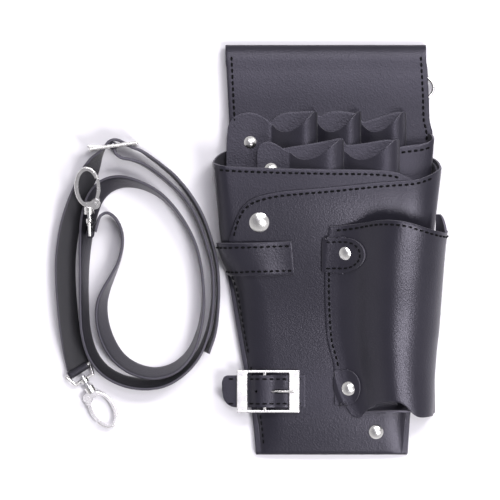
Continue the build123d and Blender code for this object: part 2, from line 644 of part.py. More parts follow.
def hook_body():
    ring = hook_ring(2.8) - wedge(GATE_FROM - 3, GATE_TO)
    ring = fillet(ring.edges().filter_by(GeomType.ELLIPSE), 0.8)
    boss = Pos(3.6, 0, 0) * Rot(0, 90, 0) * Cylinder(3.4, 4.6)
    boss += Pos(6.9, -0.6, 0) * Box(5.0, 6.6, 4.4)
    cheek = Pos(PIVOT[0], PIVOT[1], 0) * Cylinder(3.3, 4.4)
    body = ring + boss + cheek
    body -= Pos(-1.6, 0, 0) * Rot(0, 90, 0) * Cylinder(1.3, 7.2)
    body -= Pos(PIVOT[0], PIVOT[1], 0) * Cylinder(GATE_ROOM, 2.7)
    body -= Pos(PIVOT[0] + 4.5, PIVOT[1] - 1.6, 0) * Box(9, 5.0, 2.7)
    swing = Pos(PIVOT[0], PIVOT[1], 0) * Cylinder(GATE_SWING, 4)
    body -= swing & (Pos(NOSE_AT[0], NOSE_AT[1], 0) * Box(NOSE_SIZE[0], NOSE_SIZE[1], 4))
    return body - Pos(PIVOT[0], PIVOT[1], 0) * Cylinder(0.8, 9)


def gate():
    bar = hook_ring(2.2, 0.15) & wedge(GATE_FROM + 4, GATE_TO - 1)
    knuckle = Pos(PIVOT[0], PIVOT[1], 0) * Cylinder(2.6, 2.2)
    neck = Pos(PIVOT[0] + 1.6, PIVOT[1] - 1.3, 0) * Rot(0, 0, -28) * Box(5.0, 2.4, 2.2)
    return bar + knuckle + neck - Pos(PIVOT[0], PIVOT[1], 0) * Cylinder(0.85, 9)


def gate_pin():
    pin = Pos(PIVOT[0], PIVOT[1], 0) * Cylinder(0.8, 4.4)
    return pin + Pos(PIVOT[0], PIVOT[1], 2.45) * Cylinder(1.3, 0.5)


def bar_line(place, upright):
    """A plane at the eye's bar whose Z runs along the bar."""
    at = place.origin + place.x_dir * BAR_U
    along = place.z_dir if upright else place.y_dir
    return Plane(origin=at, x_dir=place.x_dir, z_dir=along)


def strap_end(band, plane, bore, wall):
    """Close a strap's end round a bar."""
    sleeve = plane * Cylinder(bore + wall, STRAP_W - 2.0)
    return (band + sleeve) - plane * Cylinder(bore, STRAP_W + 20)


def strap_plain():
    band, length = ribbon(PLAIN_ROUTE)
    print("plain strap length", round(length))
    start = Plane(origin=(S_BAR[0], S_BAR[1], PRONG_Z), z_dir=(0, 0, 1))
    band = strap_end(band, start, S_WIRE + 0.05, 0.9)
    band = strap_end(band, bar_line(HOOK_HIGH, True), EYE_WIRE + 0.1, 1.5)
    for side in (-1, 1):
        band -= HOOK_HIGH * Pos(-7, 0, side * (STRAP_W / 2 + FLARE_AT)) * Box(*FLARE_SIZE)
    return band - Pos(S_BAR[0], S_BAR[1], PRONG_Z) * Cylinder(5, 3.2)


def strap_holed():
    band, length = ribbon(HOLED_ROUTE)
    print("holed strap length", round(length))
    band = strap_end(band, bar_line(HOOK_LOW, False), EYE_WIRE + 0.1, 1.2)
    hole = Pos(-9, 3.2, 0) * Box(15, 8.8, 2.7)
    return band - strap_buckle_place() * Pos(0, 0, PRONG_Z) * hole


def main():
    save("back_panel", back_panel())
    save("belt_loop", belt_loop())
    save("belt_rivets", belt_rivets())
    save("shears_loops_back", shears_loops_back())
    save("shears_loops_front", shears_loops_front())
    save("rear_pocket", rear_pocket())
    pocket_shell, overlay, band = front_pocket(), front_overlay(), tool_band()
    save("front_pocket", pocket_shell)
    save("front_overlay", overlay)
    save("tool_band", band)
    side, upper = side_pocket(), tab(d_outline(-3.0, 24.8, -14.2, 8.1))
    lower = tab(d_outline(4.9, 21.9, -101.8, -79.1))
    save("side_pocket", side)
    save("side_pocket_base", side_pocket_base())
    save("upper_tab", upper)
    save("lower_tab", lower)
    for name, (place, depth, cap_r, cap_h) in front_rivets().items():
        save(name, front_rivet(place, depth, cap_r, cap_h, [upper, lower, side, overlay, pocket_shell]))
    back_z, rear_z = SKIN + TUNNEL, REAR[0][3]
    save("loop_rivet_back", rivet(*LOOP_RIVET_BACK, back_z, back_z + 2 * SKIN + 0.3, 4.5))
    save("loop_rivet_front", rivet(*LOOP_RIVET_FRONT, rear_z - SKIN - 0.9, rear_z + SKIN + 0.3, 4.5))
    save("buckle_frame", buckle_frame())
    save("buckle_prong", buckle_prong())
    save("buckle_chape", buckle_chape())
    save("buckle_strap", buckle_strap())
    rings = (("left", RING_LEFT_X, -1), ("right", RING_RIGHT_X, 1))
    for (name, bar_x, hand), rivet_at in zip(rings, CHAPE_RIVETS):
        save(f"d_ring_{name}", d_ring(bar_x, hand))
        save(f"d_ring_chape_{name}", d_chape(bar_x, hand, rivet_at))
    save("chape_rivets", chape_rivets())
    save("strap_buckle_frame", strap_buckle_frame())
    save("strap_buckle_prong", strap_buckle_prong())
    save("strap_plain", strap_plain())
    save("strap_holed", strap_holed())
    for name, place, flat in (("low", HOOK_LOW, True), ("high", HOOK_HIGH, False)):
        save(f"eye_{name}", place * eye(flat))
        save(f"swivel_post_{name}", place * post())
        save(f"hook_{name}", place * hook_body())
        save(f"gate_{name}", place * gate())
        save(f"gate_pin_{name}", place * gate_pin())


main()
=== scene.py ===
"""Looks of the hairdresser's shears holster and its strap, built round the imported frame."""
import bpy
import bmesh
import math
import random
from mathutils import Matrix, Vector


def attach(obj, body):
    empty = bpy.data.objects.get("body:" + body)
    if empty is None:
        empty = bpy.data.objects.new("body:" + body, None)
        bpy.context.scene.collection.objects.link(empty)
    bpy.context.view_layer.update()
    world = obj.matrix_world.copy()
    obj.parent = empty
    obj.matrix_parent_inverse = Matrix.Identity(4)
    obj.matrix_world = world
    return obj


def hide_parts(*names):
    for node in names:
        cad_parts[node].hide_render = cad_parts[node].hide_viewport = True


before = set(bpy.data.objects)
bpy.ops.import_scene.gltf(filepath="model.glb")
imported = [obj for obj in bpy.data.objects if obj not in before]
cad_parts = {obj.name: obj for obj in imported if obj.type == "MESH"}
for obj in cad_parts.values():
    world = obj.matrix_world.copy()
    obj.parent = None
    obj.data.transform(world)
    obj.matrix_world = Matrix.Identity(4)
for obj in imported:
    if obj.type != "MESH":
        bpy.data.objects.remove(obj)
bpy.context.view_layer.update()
MM = 0.001
rng = random.Random(7)
scene = bpy.context.scene

VIEW_X, VIEW_Y = -0.0508, 0.0      # the camera looks straight down on this spot (m)
VIEW_WIDTH = 0.330                 # width of the floor that fills the picture (m)
CAMERA_HEIGHT = 4.0
SENSOR = 36.0
FLOOR_HALF = 3.0                   # half the floor's side (m)
FLOOR_Z = -0.0004

SKIN = 1.5                         # thickness of the holster's leather (mm)
STITCH_LIFT = 0.06                 # height of a seam's line above the leather (mm)
STITCH_SHARE = 0.7                 # share of a stitch's pitch that is thread
THICK_THREAD, MEDIUM_THREAD, THIN_THREAD = 0.72, 0.68, 0.55
OVER = 1.6                         # how far the overlay's outer face lies above the pocket's (mm)


# ---- camera, light, floor

def set_stage():
    """Pale floor, four softboxes, a dome that darkens upwards, and a camera straight over the object."""
    cam = bpy.data.cameras.new("camera")
    cam.sensor_width = SENSOR
    cam.lens = SENSOR * CAMERA_HEIGHT / VIEW_WIDTH
    cam.clip_end = 50.0
    cam_obj = bpy.data.objects.new("camera", cam)
    cam_obj.location = (VIEW_X, VIEW_Y, CAMERA_HEIGHT)
    scene.collection.objects.link(cam_obj)
    scene.camera = cam_obj

    floor = bpy.data.meshes.new("floor")
    s = FLOOR_HALF
    floor.from_pydata([(-s, -s, 0), (s, -s, 0), (s, s, 0), (-s, s, 0)], [], [(0, 1, 2, 3)])
    floor_obj = bpy.data.objects.new("floor", floor)
    floor_obj.location = (VIEW_X, VIEW_Y, FLOOR_Z)
    scene.collection.objects.link(floor_obj)
    paper = bpy.data.materials.new("white_paper")
    paper.use_nodes = True
    shader = paper.node_tree.nodes["Principled BSDF"]
    shader.inputs["Base Color"].default_value = (0.80, 0.79, 0.825, 1)
    shader.inputs["Roughness"].default_value = 0.8
    floor.materials.append(paper)

    def area(name, place, aim, size, power, colour):
        light = bpy.data.lights.new(name, "AREA")
        light.shape = "RECTANGLE"
        light.size, light.size_y = size
        light.energy = power
        light.color = colour
        obj = bpy.data.objects.new(name, light)
        obj.location = place
        obj.rotation_euler = (Vector(aim) - Vector(place)).to_track_quat("-Z", "Y").to_euler()
        scene.collection.objects.link(obj)

    area("key_softbox", (0.75, 0.85, 1.35), (0, 0, 0), (0.5, 0.5), 14, (1.0, 0.985, 1.0))
    area("right_softbox", (0.50, -0.50, 1.15), (0.04, 0, 0), (0.30, 0.6), 12, (1.0, 0.985, 1.0))
    area("top_softbox", (0.0, 0.80, 1.45), (0, 0.1, 0), (0.9, 0.3), 7, (1.0, 0.98, 1.0))
    area("overhead_softbox", (0.35, 0.75, 4.5), (0.02, 0, 0), (1.5, 1.1), 38, (0.93, 0.90, 1.0))
    world = bpy.data.worlds.new("studio")
    world.use_nodes = True
    nodes, links = world.node_tree.nodes, world.node_tree.links
    where = nodes.new("ShaderNodeTexCoord")
    split = nodes.new("ShaderNodeSeparateXYZ")
    links.new(where.outputs["Generated"], split.inputs[0])
    dome = colour_ramp(nodes, (1.0, 0.98, 1.0), (0.22, 0.215, 0.24), 0.15, 0.97)
    links.new(split.outputs["Z"], dome.inputs["Fac"])
    links.new(dome.outputs["Color"], nodes["Background"].inputs["Color"])
    nodes["Background"].inputs["Strength"].default_value = 0.75
    scene.world = world
    scene.view_settings.view_transform = "Standard"


# ---- materials

def shader_of(name):
    mat = bpy.data.materials.new(name)
    mat.use_nodes = True
    return mat, mat.node_tree.nodes, mat.node_tree.links, mat.node_tree.nodes["Principled BSDF"]


def node(nodes, kind, **values):
    """New node with these input values; a space in an input's name is written as _."""
    made = nodes.new("ShaderNode" + kind)
    for key, value in values.items():
        made.inputs[key.replace("_", " ")].default_value = value
    return made


def colour_ramp(nodes, first, last, start=0.0, end=1.0):
    ramp = nodes.new("ShaderNodeValToRGB")
    for element, colour, position in zip(ramp.color_ramp.elements, (first, last), (start, end)):
        element.position = position
        element.color = (*colour, 1)
    return ramp


def leather(name, dark, light, rough, grain=900.0, sheen=0.1):
    """Coated leather: pebble grain, soft tone changes and a low gloss."""
    mat, nodes, links, shader = shader_of(name)
    where = nodes.new("ShaderNodeTexCoord")
    cells = node(nodes, "TexVoronoi", Scale=grain)
    cells.feature = "SMOOTH_F1"
    links.new(where.outputs["Object"], cells.inputs["Vector"])
    fine = node(nodes, "TexNoise", Scale=grain * 1.7, Detail=3.0)
    links.new(where.outputs["Object"], fine.inputs["Vector"])
    height = nodes.new("ShaderNodeMath")
    height.operation = "ADD"
    links.new(cells.outputs["Distance"], height.inputs[0])
    links.new(fine.outputs["Fac"], height.inputs[1])
    pebble = node(nodes, "Bump", Strength=0.2, Distance=0.0004)
    links.new(height.outputs[0], pebble.inputs["Height"])
    links.new(pebble.outputs["Normal"], shader.inputs["Normal"])
    broad = node(nodes, "TexNoise", Scale=22.0, Detail=5.0)
    links.new(where.outputs["Object"], broad.inputs["Vector"])
    tone = colour_ramp(nodes, dark, light, 0.3, 0.72)
    links.new(broad.outputs["Fac"], tone.inputs["Fac"])
    links.new(tone.outputs["Color"], shader.inputs["Base Color"])
    gloss = node(nodes, "MapRange", To_Min=rough - 0.05, To_Max=rough + 0.08)
    links.new(fine.outputs["Fac"], gloss.inputs["Value"])
    links.new(gloss.outputs["Result"], shader.inputs["Roughness"])
    shader.inputs["Sheen Weight"].default_value = sheen
    shader.inputs["Sheen Roughness"].default_value = 0.5
    shader.inputs["Specular IOR Level"].default_value = 0.42
    shader.inputs["Specular Tint"].default_value = (0.88, 0.85, 1.0, 1)
    return mat


def metal(name, colour, rough):
    """Polished plate with faint brushing and dulling."""
    mat, nodes, links, shader = shader_of(name)
    shader.inputs["Metallic"].default_value = 1.0
    where = nodes.new("ShaderNodeTexCoord")
    wear = node(nodes, "TexNoise", Scale=240.0, Detail=6.0)
    links.new(where.outputs["Object"], wear.inputs["Vector"])
    dull = node(nodes, "MapRange", To_Min=rough, To_Max=rough + 0.12)
    links.new(wear.outputs["Fac"], dull.inputs["Value"])
    links.new(dull.outputs["Result"], shader.inputs["Roughness"])
    tint = colour_ramp(nodes, [c * 0.9 for c in colour], colour)
    links.new(wear.outputs["Fac"], tint.inputs["Fac"])
    links.new(tint.outputs["Color"], shader.inputs["Base Color"])
    return mat


def thread_material():
    """Waxed black thread with a fine twist."""
    mat, nodes, links, shader = shader_of("thread")
    where = nodes.new("ShaderNodeTexCoord")
    twist = node(nodes, "TexWave", Scale=900.0)
    links.new(where.outputs["Object"], twist.inputs["Vector"])
    ramp = colour_ramp(nodes, (0.0015, 0.0015, 0.002), (0.004, 0.004, 0.005))
    links.new(twist.outputs["Fac"], ramp.inputs["Fac"])
    links.new(ramp.outputs["Color"], shader.inputs["Base Color"])
    shader.inputs["Roughness"].default_value = 0.9
    shader.inputs["Specular IOR Level"].default_value = 0.15
    return mat


POUCH = leather("pouch_leather", (0.011, 0.0105, 0.016), (0.017, 0.016, 0.023), rough=0.34, sheen=0.08)
LOOPS = leather("loop_leather", (0.012, 0.0115, 0.017), (0.018, 0.017, 0.024), rough=0.32, sheen=0.08)
STRAP = leather("strap_leather", (0.009, 0.009, 0.012), (0.015, 0.014, 0.019), rough=0.36, sheen=0.05)
INSIDE = leather("leather_back", (0.012, 0.011, 0.015), (0.020, 0.019, 0.025), rough=0.7, grain=700.0)
EDGE = leather("cut_edge", (0.05, 0.048, 0.06), (0.085, 0.08, 0.1), rough=0.5)
THREAD = thread_material()
NICKEL = metal("nickel", (0.90, 0.89, 0.87), 0.20)
STEEL = metal("pin_steel", (0.62, 0.62, 0.63), 0.22)


# ---- mesh helpers

def add_object(name, mesh, materials, body="holster"):
    """Put a mesh in the scene with its materials, riding on a body of the frame."""
    obj = bpy.data.objects.new(name, mesh)
    scene.collection.objects.link(obj)
    for mat in materials:
        mesh.materials.append(mat)
    mesh.shade_smooth()
    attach(obj, body)
    return obj


def smooth_table(points, x):
    """Smooth monotone-ish interpolation through (x, value) points (cubic Hermite)."""
    n = len(points)
    if x <= points[0][0]:
        return points[0][1]
    if x >= points[-1][0]:
        return points[-1][1]
    k = next(i for i in range(n - 1) if x <= points[i + 1][0])

    def slope(i):
        a, b = points[max(i - 1, 0)], points[min(i + 1, n - 1)]
        return (b[1] - a[1]) / (b[0] - a[0])
    (x0, y0), (x1, y1) = points[k], points[k + 1]
    h = x1 - x0
    t = (x - x0) / h
    m0, m1 = slope(k) * h, slope(k + 1) * h
    return ((2 * t ** 3 - 3 * t ** 2 + 1) * y0 + (t ** 3 - 2 * t ** 2 + t) * m0
            + (-2 * t ** 3 + 3 * t ** 2) * y1 + (t ** 3 - t ** 2) * m1)


def sheet_object(name, grid, thick, mats=None, bevel=0.35):
    """A leather sheet from rows of points (mm), with real thickness and softened cut edges.

    The rows are the outer face; the sheet is thickened inwards.
    """
    rows, cols = len(grid), len(grid[0])
    outer = [Vector(p) for row in grid for p in row]

    def at(r, c):
        return outer[r * cols + min(max(c, 0), cols - 1)]
    normals = []
    for r in range(rows):
        for c in range(cols):
            du = at(r, c + 1) - at(r, c - 1)
            dv = at(min(r + 1, rows - 1), c) - at(max(r - 1, 0), c)
            n = du.cross(dv)
            normals.append(n.normalized() if n.length > 1e-9 else Vector((0, 0, 1)))
    inner = [p - n * thick for p, n in zip(outer, normals)]
    mesh = bpy.data.meshes.new(name)
    count = rows * cols
    base = (rows - 1) * cols
    faces, kinds = [], []
    for r in range(rows - 1):
        for c in range(cols - 1):
            a, d = r * cols + c, (r + 1) * cols + c
            faces += [(a, a + 1, d + 1, d), (count + a, count + d, count + d + 1, count + a + 1)]
            kinds += [0, 1]
    for a in range(cols - 2, -1, -1):
        faces.append((a + 1, a, count + a, count + a + 1))
    for a in range(base, base + cols - 1):
        faces.append((a, a + 1, count + a + 1, count + a))
    for a in range(0, base, cols):
        b, c, d = a + cols, a + cols - 1, a + 2 * cols - 1
        faces += [(a, b, count + b, count + a), (d, c, count + c, count + d)]
    kinds += [2] * (len(faces) - len(kinds))
    mesh.from_pydata([p * MM for p in outer + inner], [], faces)
    for face, kind in zip(mesh.polygons, kinds):
        face.material_index = kind
    obj = add_object(name, mesh, mats or [POUCH, INSIDE, EDGE])
    fix_normals(mesh)
    soften(obj, bevel)
    return obj


def fix_normals(mesh):
    bm = bmesh.new()
    bm.from_mesh(mesh)
    bmesh.ops.recalc_face_normals(bm, faces=bm.faces)
    bm.to_mesh(mesh)
    bm.free()
    mesh.shade_smooth()


def soften(obj, width):
    """Round the cut edges a little."""
    mod = obj.modifiers.new("edge", "BEVEL")
    mod.width = width * MM
    mod.segments = 2
    mod.limit_method = "ANGLE"
    mod.angle_limit = math.radians(50)


def capsule(bm, a, b, r, up):
    """A stitch: a short fat thread from a to b, humped in the middle."""
    way = (b - a).normalized()
    side = way.cross(up).normalized()
    top = side.cross(way).normalized()
    rings = []
    shares = [(0.0, 0.25, -0.5), (0.12, 0.8, 0.1), (0.5, 1.0, 0.55), (0.88, 0.8, 0.1), (1.0, 0.25, -0.5)]
    for s, size, lift in shares:
        mid = a.lerp(b, s) + top * (lift * r)
        ring = []
        for k in range(6):
            t = 2 * math.pi * k / 6
            ring.append(bm.verts.new((mid + (side * math.cos(t) + top * math.sin(t)) * r * size) * MM))
        rings.append(ring)
    for p, q in zip(rings, rings[1:]):
        for k in range(6):
            bm.faces.new((p[k], p[(k + 1) % 6], q[(k + 1) % 6], q[k]))
    bm.faces.new(rings[0][::-1])
    bm.faces.new(rings[-1])


def seam(name, paths, pitch=4.0, r=MEDIUM_THREAD):
    """Rows of stitches along paths of (point, normal) pairs, in mm."""
    bm = bmesh.new()
    for path in paths:
        points = [Vector(p) for p, _ in path]
        normals = [Vector(n) for _, n in path]
        run = [0.0]
        for p, q in zip(points, points[1:]):
            run.append(run[-1] + (q - p).length)
        count = max(int(run[-1] / pitch), 1)
        step = run[-1] / count

        def along(s):
            s = min(max(s, 0.0), run[-1] - 1e-6)
            k = max(i for i in range(len(run) - 1) if run[i] <= s)
            f = (s - run[k]) / max(run[k + 1] - run[k], 1e-9)
            return points[k].lerp(points[k + 1], f), normals[k].lerp(normals[k + 1], f).normalized()
        for i in range(count):
            jit = rng.uniform(-0.12, 0.12)
            a, n = along(i * step + (1 - STITCH_SHARE) / 2 * step + jit)
            b, _ = along(i * step + (1 + STITCH_SHARE) / 2 * step + jit)
            capsule(bm, a + n * 0.02, b + n * 0.02, r, n)
    mesh = bpy.data.meshes.new(name)
    bm.to_mesh(mesh)
    bm.free()
    return add_object(name, mesh, [THREAD])


# ---- smooth curves

def curve_points(points, step):
    """Smooth line through the points (Catmull-Rom on chord lengths), sampled about every step mm."""
    rows = [Vector(p) for p in points]
    ends = [rows[0] * 2 - rows[1]] + rows + [rows[-1] * 2 - rows[-2]]
    line = []
    for i in range(1, len(ends) - 2):
        p0, p1, p2, p3 = ends[i - 1:i + 3]
        d1 = max((p1 - p0).length, 1e-6) ** 0.5
        d2 = max((p2 - p1).length, 1e-6) ** 0.5
        d3 = max((p3 - p2).length, 1e-6) ** 0.5
        m1 = (p1 - p0) / d1 - (p2 - p0) / (d1 + d2) + (p2 - p1) / d2
        m2 = (p2 - p1) / d2 - (p3 - p1) / (d2 + d3) + (p3 - p2) / d3
        m1, m2 = m1 * d2, m2 * d2
        count = max(int((p2 - p1).length / step), 1)
        for k in range(count):
            t = k / count
            line.append(p1 * (2 * t ** 3 - 3 * t ** 2 + 1) + m1 * (t ** 3 - 2 * t ** 2 + t)
                        + p2 * (3 * t ** 2 - 2 * t ** 3) + m2 * (t ** 3 - t ** 2))
    line.append(rows[-1])
    return line


def ease(t):
    t = min(max(t, 0.0), 1.0)
    return t * t * (3 - 2 * t)


# ---- holster cross-sections (mm)

FLOOR = 3.2               # where the front's edges meet the back panel
WALL = 16                 # columns in each side wall
MIDDLE = 64               # columns across the front


LEFT_SHOULDER, RIGHT_SHOULDER = 9, 24      # radii between the walls and the front


class Shell:
    """A leather front whose cross-section changes along y: wall, shoulder, front, shoulder, wall.

    Where it is upright, each side has a wall that ends at WALL_SHARE of its columns and WALL_RISE of its
    height. Where it lies flat, a lip of width LIP on the back panel is followed by a slope SLOPE wide.
    """

    WALL_SHARE, WALL_RISE = 0.45, 0.6
    LIP_SHARE, LIP, SLOPE = 0.25, 4.2, 17

    def __init__(self, left, right, foot_left, foot_right, top, flat_below, floor, crown=0.3, fall=3.0):
        self.tables = (sorted(left), sorted(right), sorted(foot_left), sorted(foot_right), sorted(top))
        self.flat_below = flat_below
        self.floor = floor
        self.crown = crown
        self.fall = fall
        self.cache = {}
        self.columns = 2 * WALL + MIDDLE

    def side(self, t, edge, foot, top, upright, radius):
        """Offset from the middle and height of a point t (0 foot, 1 front) on one side wall."""
        rise = top - self.floor
        if t < self.WALL_SHARE:
            share = t / self.WALL_SHARE
            tall = (foot + (edge - foot) * math.sin(math.pi / 2 * share),
                    self.floor + self.WALL_RISE * rise * share)
        else:
            a = (t - self.WALL_SHARE) / (1 - self.WALL_SHARE) * math.pi / 2
            bend = self.WALL_RISE + (1 - self.WALL_RISE) * math.sin(a)
            tall = (edge - radius * (1 - math.cos(a)), self.floor + rise * bend)
        if t < self.LIP_SHARE:
            low = (edge - self.LIP * t / self.LIP_SHARE, self.floor + 0.1 * t)
        else:
            a = (t - self.LIP_SHARE) / (1 - self.LIP_SHARE) * math.pi / 2
            low = (edge - self.LIP - self.SLOPE * (1 - math.cos(a)),
                   self.floor + 0.03 + (rise - 0.03) * math.sin(a))
        return low[0] + (tall[0] - low[0]) * upright, low[1] + (tall[1] - low[1]) * upright

    def section(self, y):
        key = round(y, 2)
        if key in self.cache:
            return self.cache[key]
        left, right, foot_l, foot_r, top = (smooth_table(t, y) for t in self.tables)
        upright = ease((y - self.flat_below) / 36)
        row = []
        for i in range(WALL):
            x, z = self.side(i / (WALL - 1), -left, -foot_l, top, upright, LEFT_SHOULDER)
            row.append((-x, z))
        fall = self.fall * min(max((top - self.floor) / 30, 0), 1)
        other = [self.side(i / (WALL - 1), right, foot_r, top - fall, upright, RIGHT_SHOULDER)
                 for i in range(WALL)]
        x0, x1 = row[-1][0], other[-1][0]
        for i in range(1, MIDDLE + 1):
            f = i / (MIDDLE + 1)
            row.append((x0 + (x1 - x0) * f, top + self.crown * math.sin(math.pi * f) ** 0.8
                        - fall * max((f - 0.4) / 0.6, 0) ** 2))
        row += other[::-1]
        self.cache[key] = row
        return row

    def point(self, column, y):
        """Point at a column number, which may be between whole columns."""
        row = self.section(y)
        k = min(int(column), len(row) - 2)
        f = column - k
        (x0, z0), (x1, z1) = row[k], row[k + 1]
        return Vector((x0 + (x1 - x0) * f, y, z0 + (z1 - z0) * f))

    def column_at(self, x, y):
        """Column number on the front where the section has this x."""
        row = self.section(y)
        first, last = WALL // 2 - 1, len(row) - WALL // 2
        for k in range(first, last):
            if row[k][0] <= x <= row[k + 1][0]:
                return k + (x - row[k][0]) / max(row[k + 1][0] - row[k][0], 1e-9)
        return float(first) if x < row[first][0] else float(last)

    def at(self, x, y, lift=0.0):
        """Point over (x, y) on the front, lift above it, and the normal there."""
        c = self.column_at(x, y)
        p = self.point(c, y)
        dx = self.point(min(c + 0.7, self.columns - 1.001), y) - self.point(max(c - 0.7, 0.0), y)
        dy = self.point(c, y + 1.0) - self.point(c, y - 1.0)
        n = dx.cross(dy).normalized()
        return p + n * lift, n


# the front pocket along y: x of each side where it is widest, x of each side's foot, height of the front
LEFT = [(66, -76.6), (56, -75.6), (30, -72.5), (7, -70.1), (-16, -65.4), (-45, -60.6), (-75, -55.4),
        (-110, -48.9), (-134.5, -46.6)]
RIGHT = [(66, 73.6), (56, 73.7), (30, 70.8), (7, 68.2), (-16, 65.6), (-45, 62.3), (-75, 58.8),
         (-110, 54.8), (-134.5, 53.2)]
LEFT_FOOT = [(70, -64.5), (56, -65.5), (30, -65.5), (7, -65), (-16, -62), (-45, -58), (-134.5, -46)]
RIGHT_FOOT = [(70, 67), (56, 67.5), (30, 66), (7, 64), (-16, 62), (-45, 60), (-134.5, 52.5)]
TOPS = [(66, 36.6), (56, 36), (30, 34.2), (7, 29), (-16, 22), (-45, 13.6), (-75, 9.2), (-110, 8.4),
        (-134.5, 4.6)]
FRONT = Shell(LEFT, RIGHT, LEFT_FOOT, RIGHT_FOOT, TOPS, -30, FLOOR)

# the same for the rear pocket
R_LEFT = [(75, -72.5), (56, -71.2), (30, -69.6), (-30, -56)]
R_RIGHT = [(76, 70.6), (66, 69.8), (56, 69.0), (30, 67.2), (-30, 57)]
R_FOOT_L = [(75, -64.5), (30, -64), (-30, -54)]
R_FOOT_R = [(75, 67.5), (30, 64), (-30, 55)]
R_TOPS = [(76, 21.6), (30, 21.2), (-30, 11)]
REAR = Shell(R_LEFT, R_RIGHT, R_FOOT_L, R_FOOT_R, R_TOPS, -80, 8.2, 0.2, 2.5)

# the back panel along y: height, x of its left edge, x of its right edge
BACK_Z = [(-140, 1.5), (20, 1.5), (36, 2.6), (52, 4.6), (64, 7.6), (78, 8.6), (100, 9.7), (112, 9.6),
          (120, 9.1), (124, 8.9)]
BACK_LEFT = [(-135, -46.8), (-110, -49.2), (0, -63.5), (60, -65.0), (85, -64.6), (92, -65.0), (134, -67.0)]
BACK_RIGHT = [(-135, 53.0), (-110, 54.6), (0, 63.5), (60, 67.4), (76, 69.6), (85, 67.6), (102, 67.0),
              (134, 65.3)]
FOLD_TOP = 135.2          # the fold's highest y
FOLD_HALF = 4.55          # half its thickness
FOLD_FRONT = 12.6         # how far down its front half begins to round
FOLD_REAR = 4.5           # the same for its rear half
FOLD_KEY = 134            # y at which its width is read
FLAP_HALF = 54.0          # half width of the flap behind
FLAP_BOTTOM = 38
SIDE_INSET = 3.7, -3.9    # seams from the left and the right edge


def back_point(x, y, lift=0.0):
    return Vector((x, y, smooth_table(BACK_Z, y) + lift))


# ---- leather pieces

def back_panel():
    """One strip from the bottom edge up the front of the back, over the top fold and down behind."""
    line = [(y, smooth_table(BACK_Z, y), y, False) for y in range(-135, 121, 3)]
    for k in range(1, 25):
        a = math.pi / 2 - math.pi * k / 24
        reach = FOLD_FRONT if a > 0 else FOLD_REAR
        line.append((FOLD_TOP - reach + reach * math.cos(a), FOLD_HALF * (1 + math.sin(a)), FOLD_KEY, False))
    line += [(y, 0.0, y, True) for y in range(128, FLAP_BOTTOM, -3)]
    grid = []
    for y, z, key, behind in line:
        left, right = smooth_table(BACK_LEFT, key), smooth_table(BACK_RIGHT, key)
        if behind:
            left, right = -FLAP_HALF, FLAP_HALF
        row = []
        for c in range(61):
            u = c / 60
            swell = 0.5 * math.sin(math.pi * u) if y > 66 and z > 4 else 0.0
            row.append((left + (right - left) * u, y, z + swell))
        grid.append(row)
    obj = sheet_object("back_panel_sheet", grid, SKIN)
    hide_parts("back_panel", "belt_loop")
    up = Vector((0, 0, 1))
    rows, low = [], []
    for table, inset in zip((BACK_LEFT, BACK_RIGHT), SIDE_INSET):
        rows.append([(back_point(smooth_table(table, y) + inset, y, 0.45), up) for y in range(48, 132, 4)])
        low.append([((smooth_table(table, y) + inset, y, -0.02), -up) for y in range(-132, 26, 6)])
    seam("back_panel_stitches", rows, r=THICK_THREAD)
    seam("back_side_stitches", low, r=0.35)


def strip_rows(path, tops, bottom, rows=44):
    """Rows of points of an upright strip: path of (x, z), one top y for each, down to bottom."""
    grid = []
    for j in range(rows):
        v = j / (rows - 1)
        grid.append([(x, bottom + (top - bottom) * v, z) for (x, z), top in zip(path, tops)])
    return grid


# one loop's front wall: (share of its width, share of its height, how far up its edge runs)
LOOP_SHAPE = [(0.0, 0.0, 0.60), (0.07, 0.04, 0.38), (0.15, 0.16, 0.17), (0.25, 0.36, 0.03), (0.36, 0.57, 0.0),
              (0.48, 0.78, 0.07), (0.60, 0.93, 0.24), (0.71, 1.0, 0.47), (0.81, 0.98, 0.72),
              (0.89, 0.88, 0.90), (0.95, 0.72, 0.99), (0.985, 0.52, 0.97), (0.995, 0.32, 0.88),
              (0.98, 0.15, 0.80), (0.93, 0.02, 0.74)]
LOOPS_BACK_Z, LOOPS_FRONT_Z = 8.6, 22.0
LOOPS_FOOT = 30                    # y at which the loop strips end inside the pockets
TUCK = 1.5                         # how far a loop reaches back over the one before


def loop_row(part, walls, base, tongue, trough, peak, height):
    """Row of shears loops: a riveted tongue, then one strip that rises and folds down at each loop."""
    points = [(x, y, base + lift) for x, y, lift in tongue]
    for number, (left, right) in enumerate(zip(walls, walls[1:])):
        tuck = TUCK if number else 0
        for u, h, lift in LOOP_SHAPE[0 if number else 1:]:
            points.append((left + u * (right - left) - tuck * (1 - u), trough + (peak - trough) * lift,
                           base + SKIN + h * height))
    fine = curve_points(points, 0.8)
    grid = strip_rows([(p.x, p.z) for p in fine], [p.y for p in fine], LOOPS_FOOT)
    obj = sheet_object(part + "_sheet", grid, 1.3, mats=[LOOPS, INSIDE, EDGE], bevel=0.3)
    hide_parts(part)


def flat_strip(name, edge, base):
    """Flat sheet behind a row of loops, with a scalloped top edge of (x, y)."""
    fine = curve_points([(x, y, 0) for x, y in edge], 1.0)
    grid = strip_rows([(p.x, base) for p in fine], [p.y for p in fine], LOOPS_FOOT + 4, 30)
    sheet_object(name, grid, 1.2, mats=[LOOPS, INSIDE, EDGE], bevel=0.3)


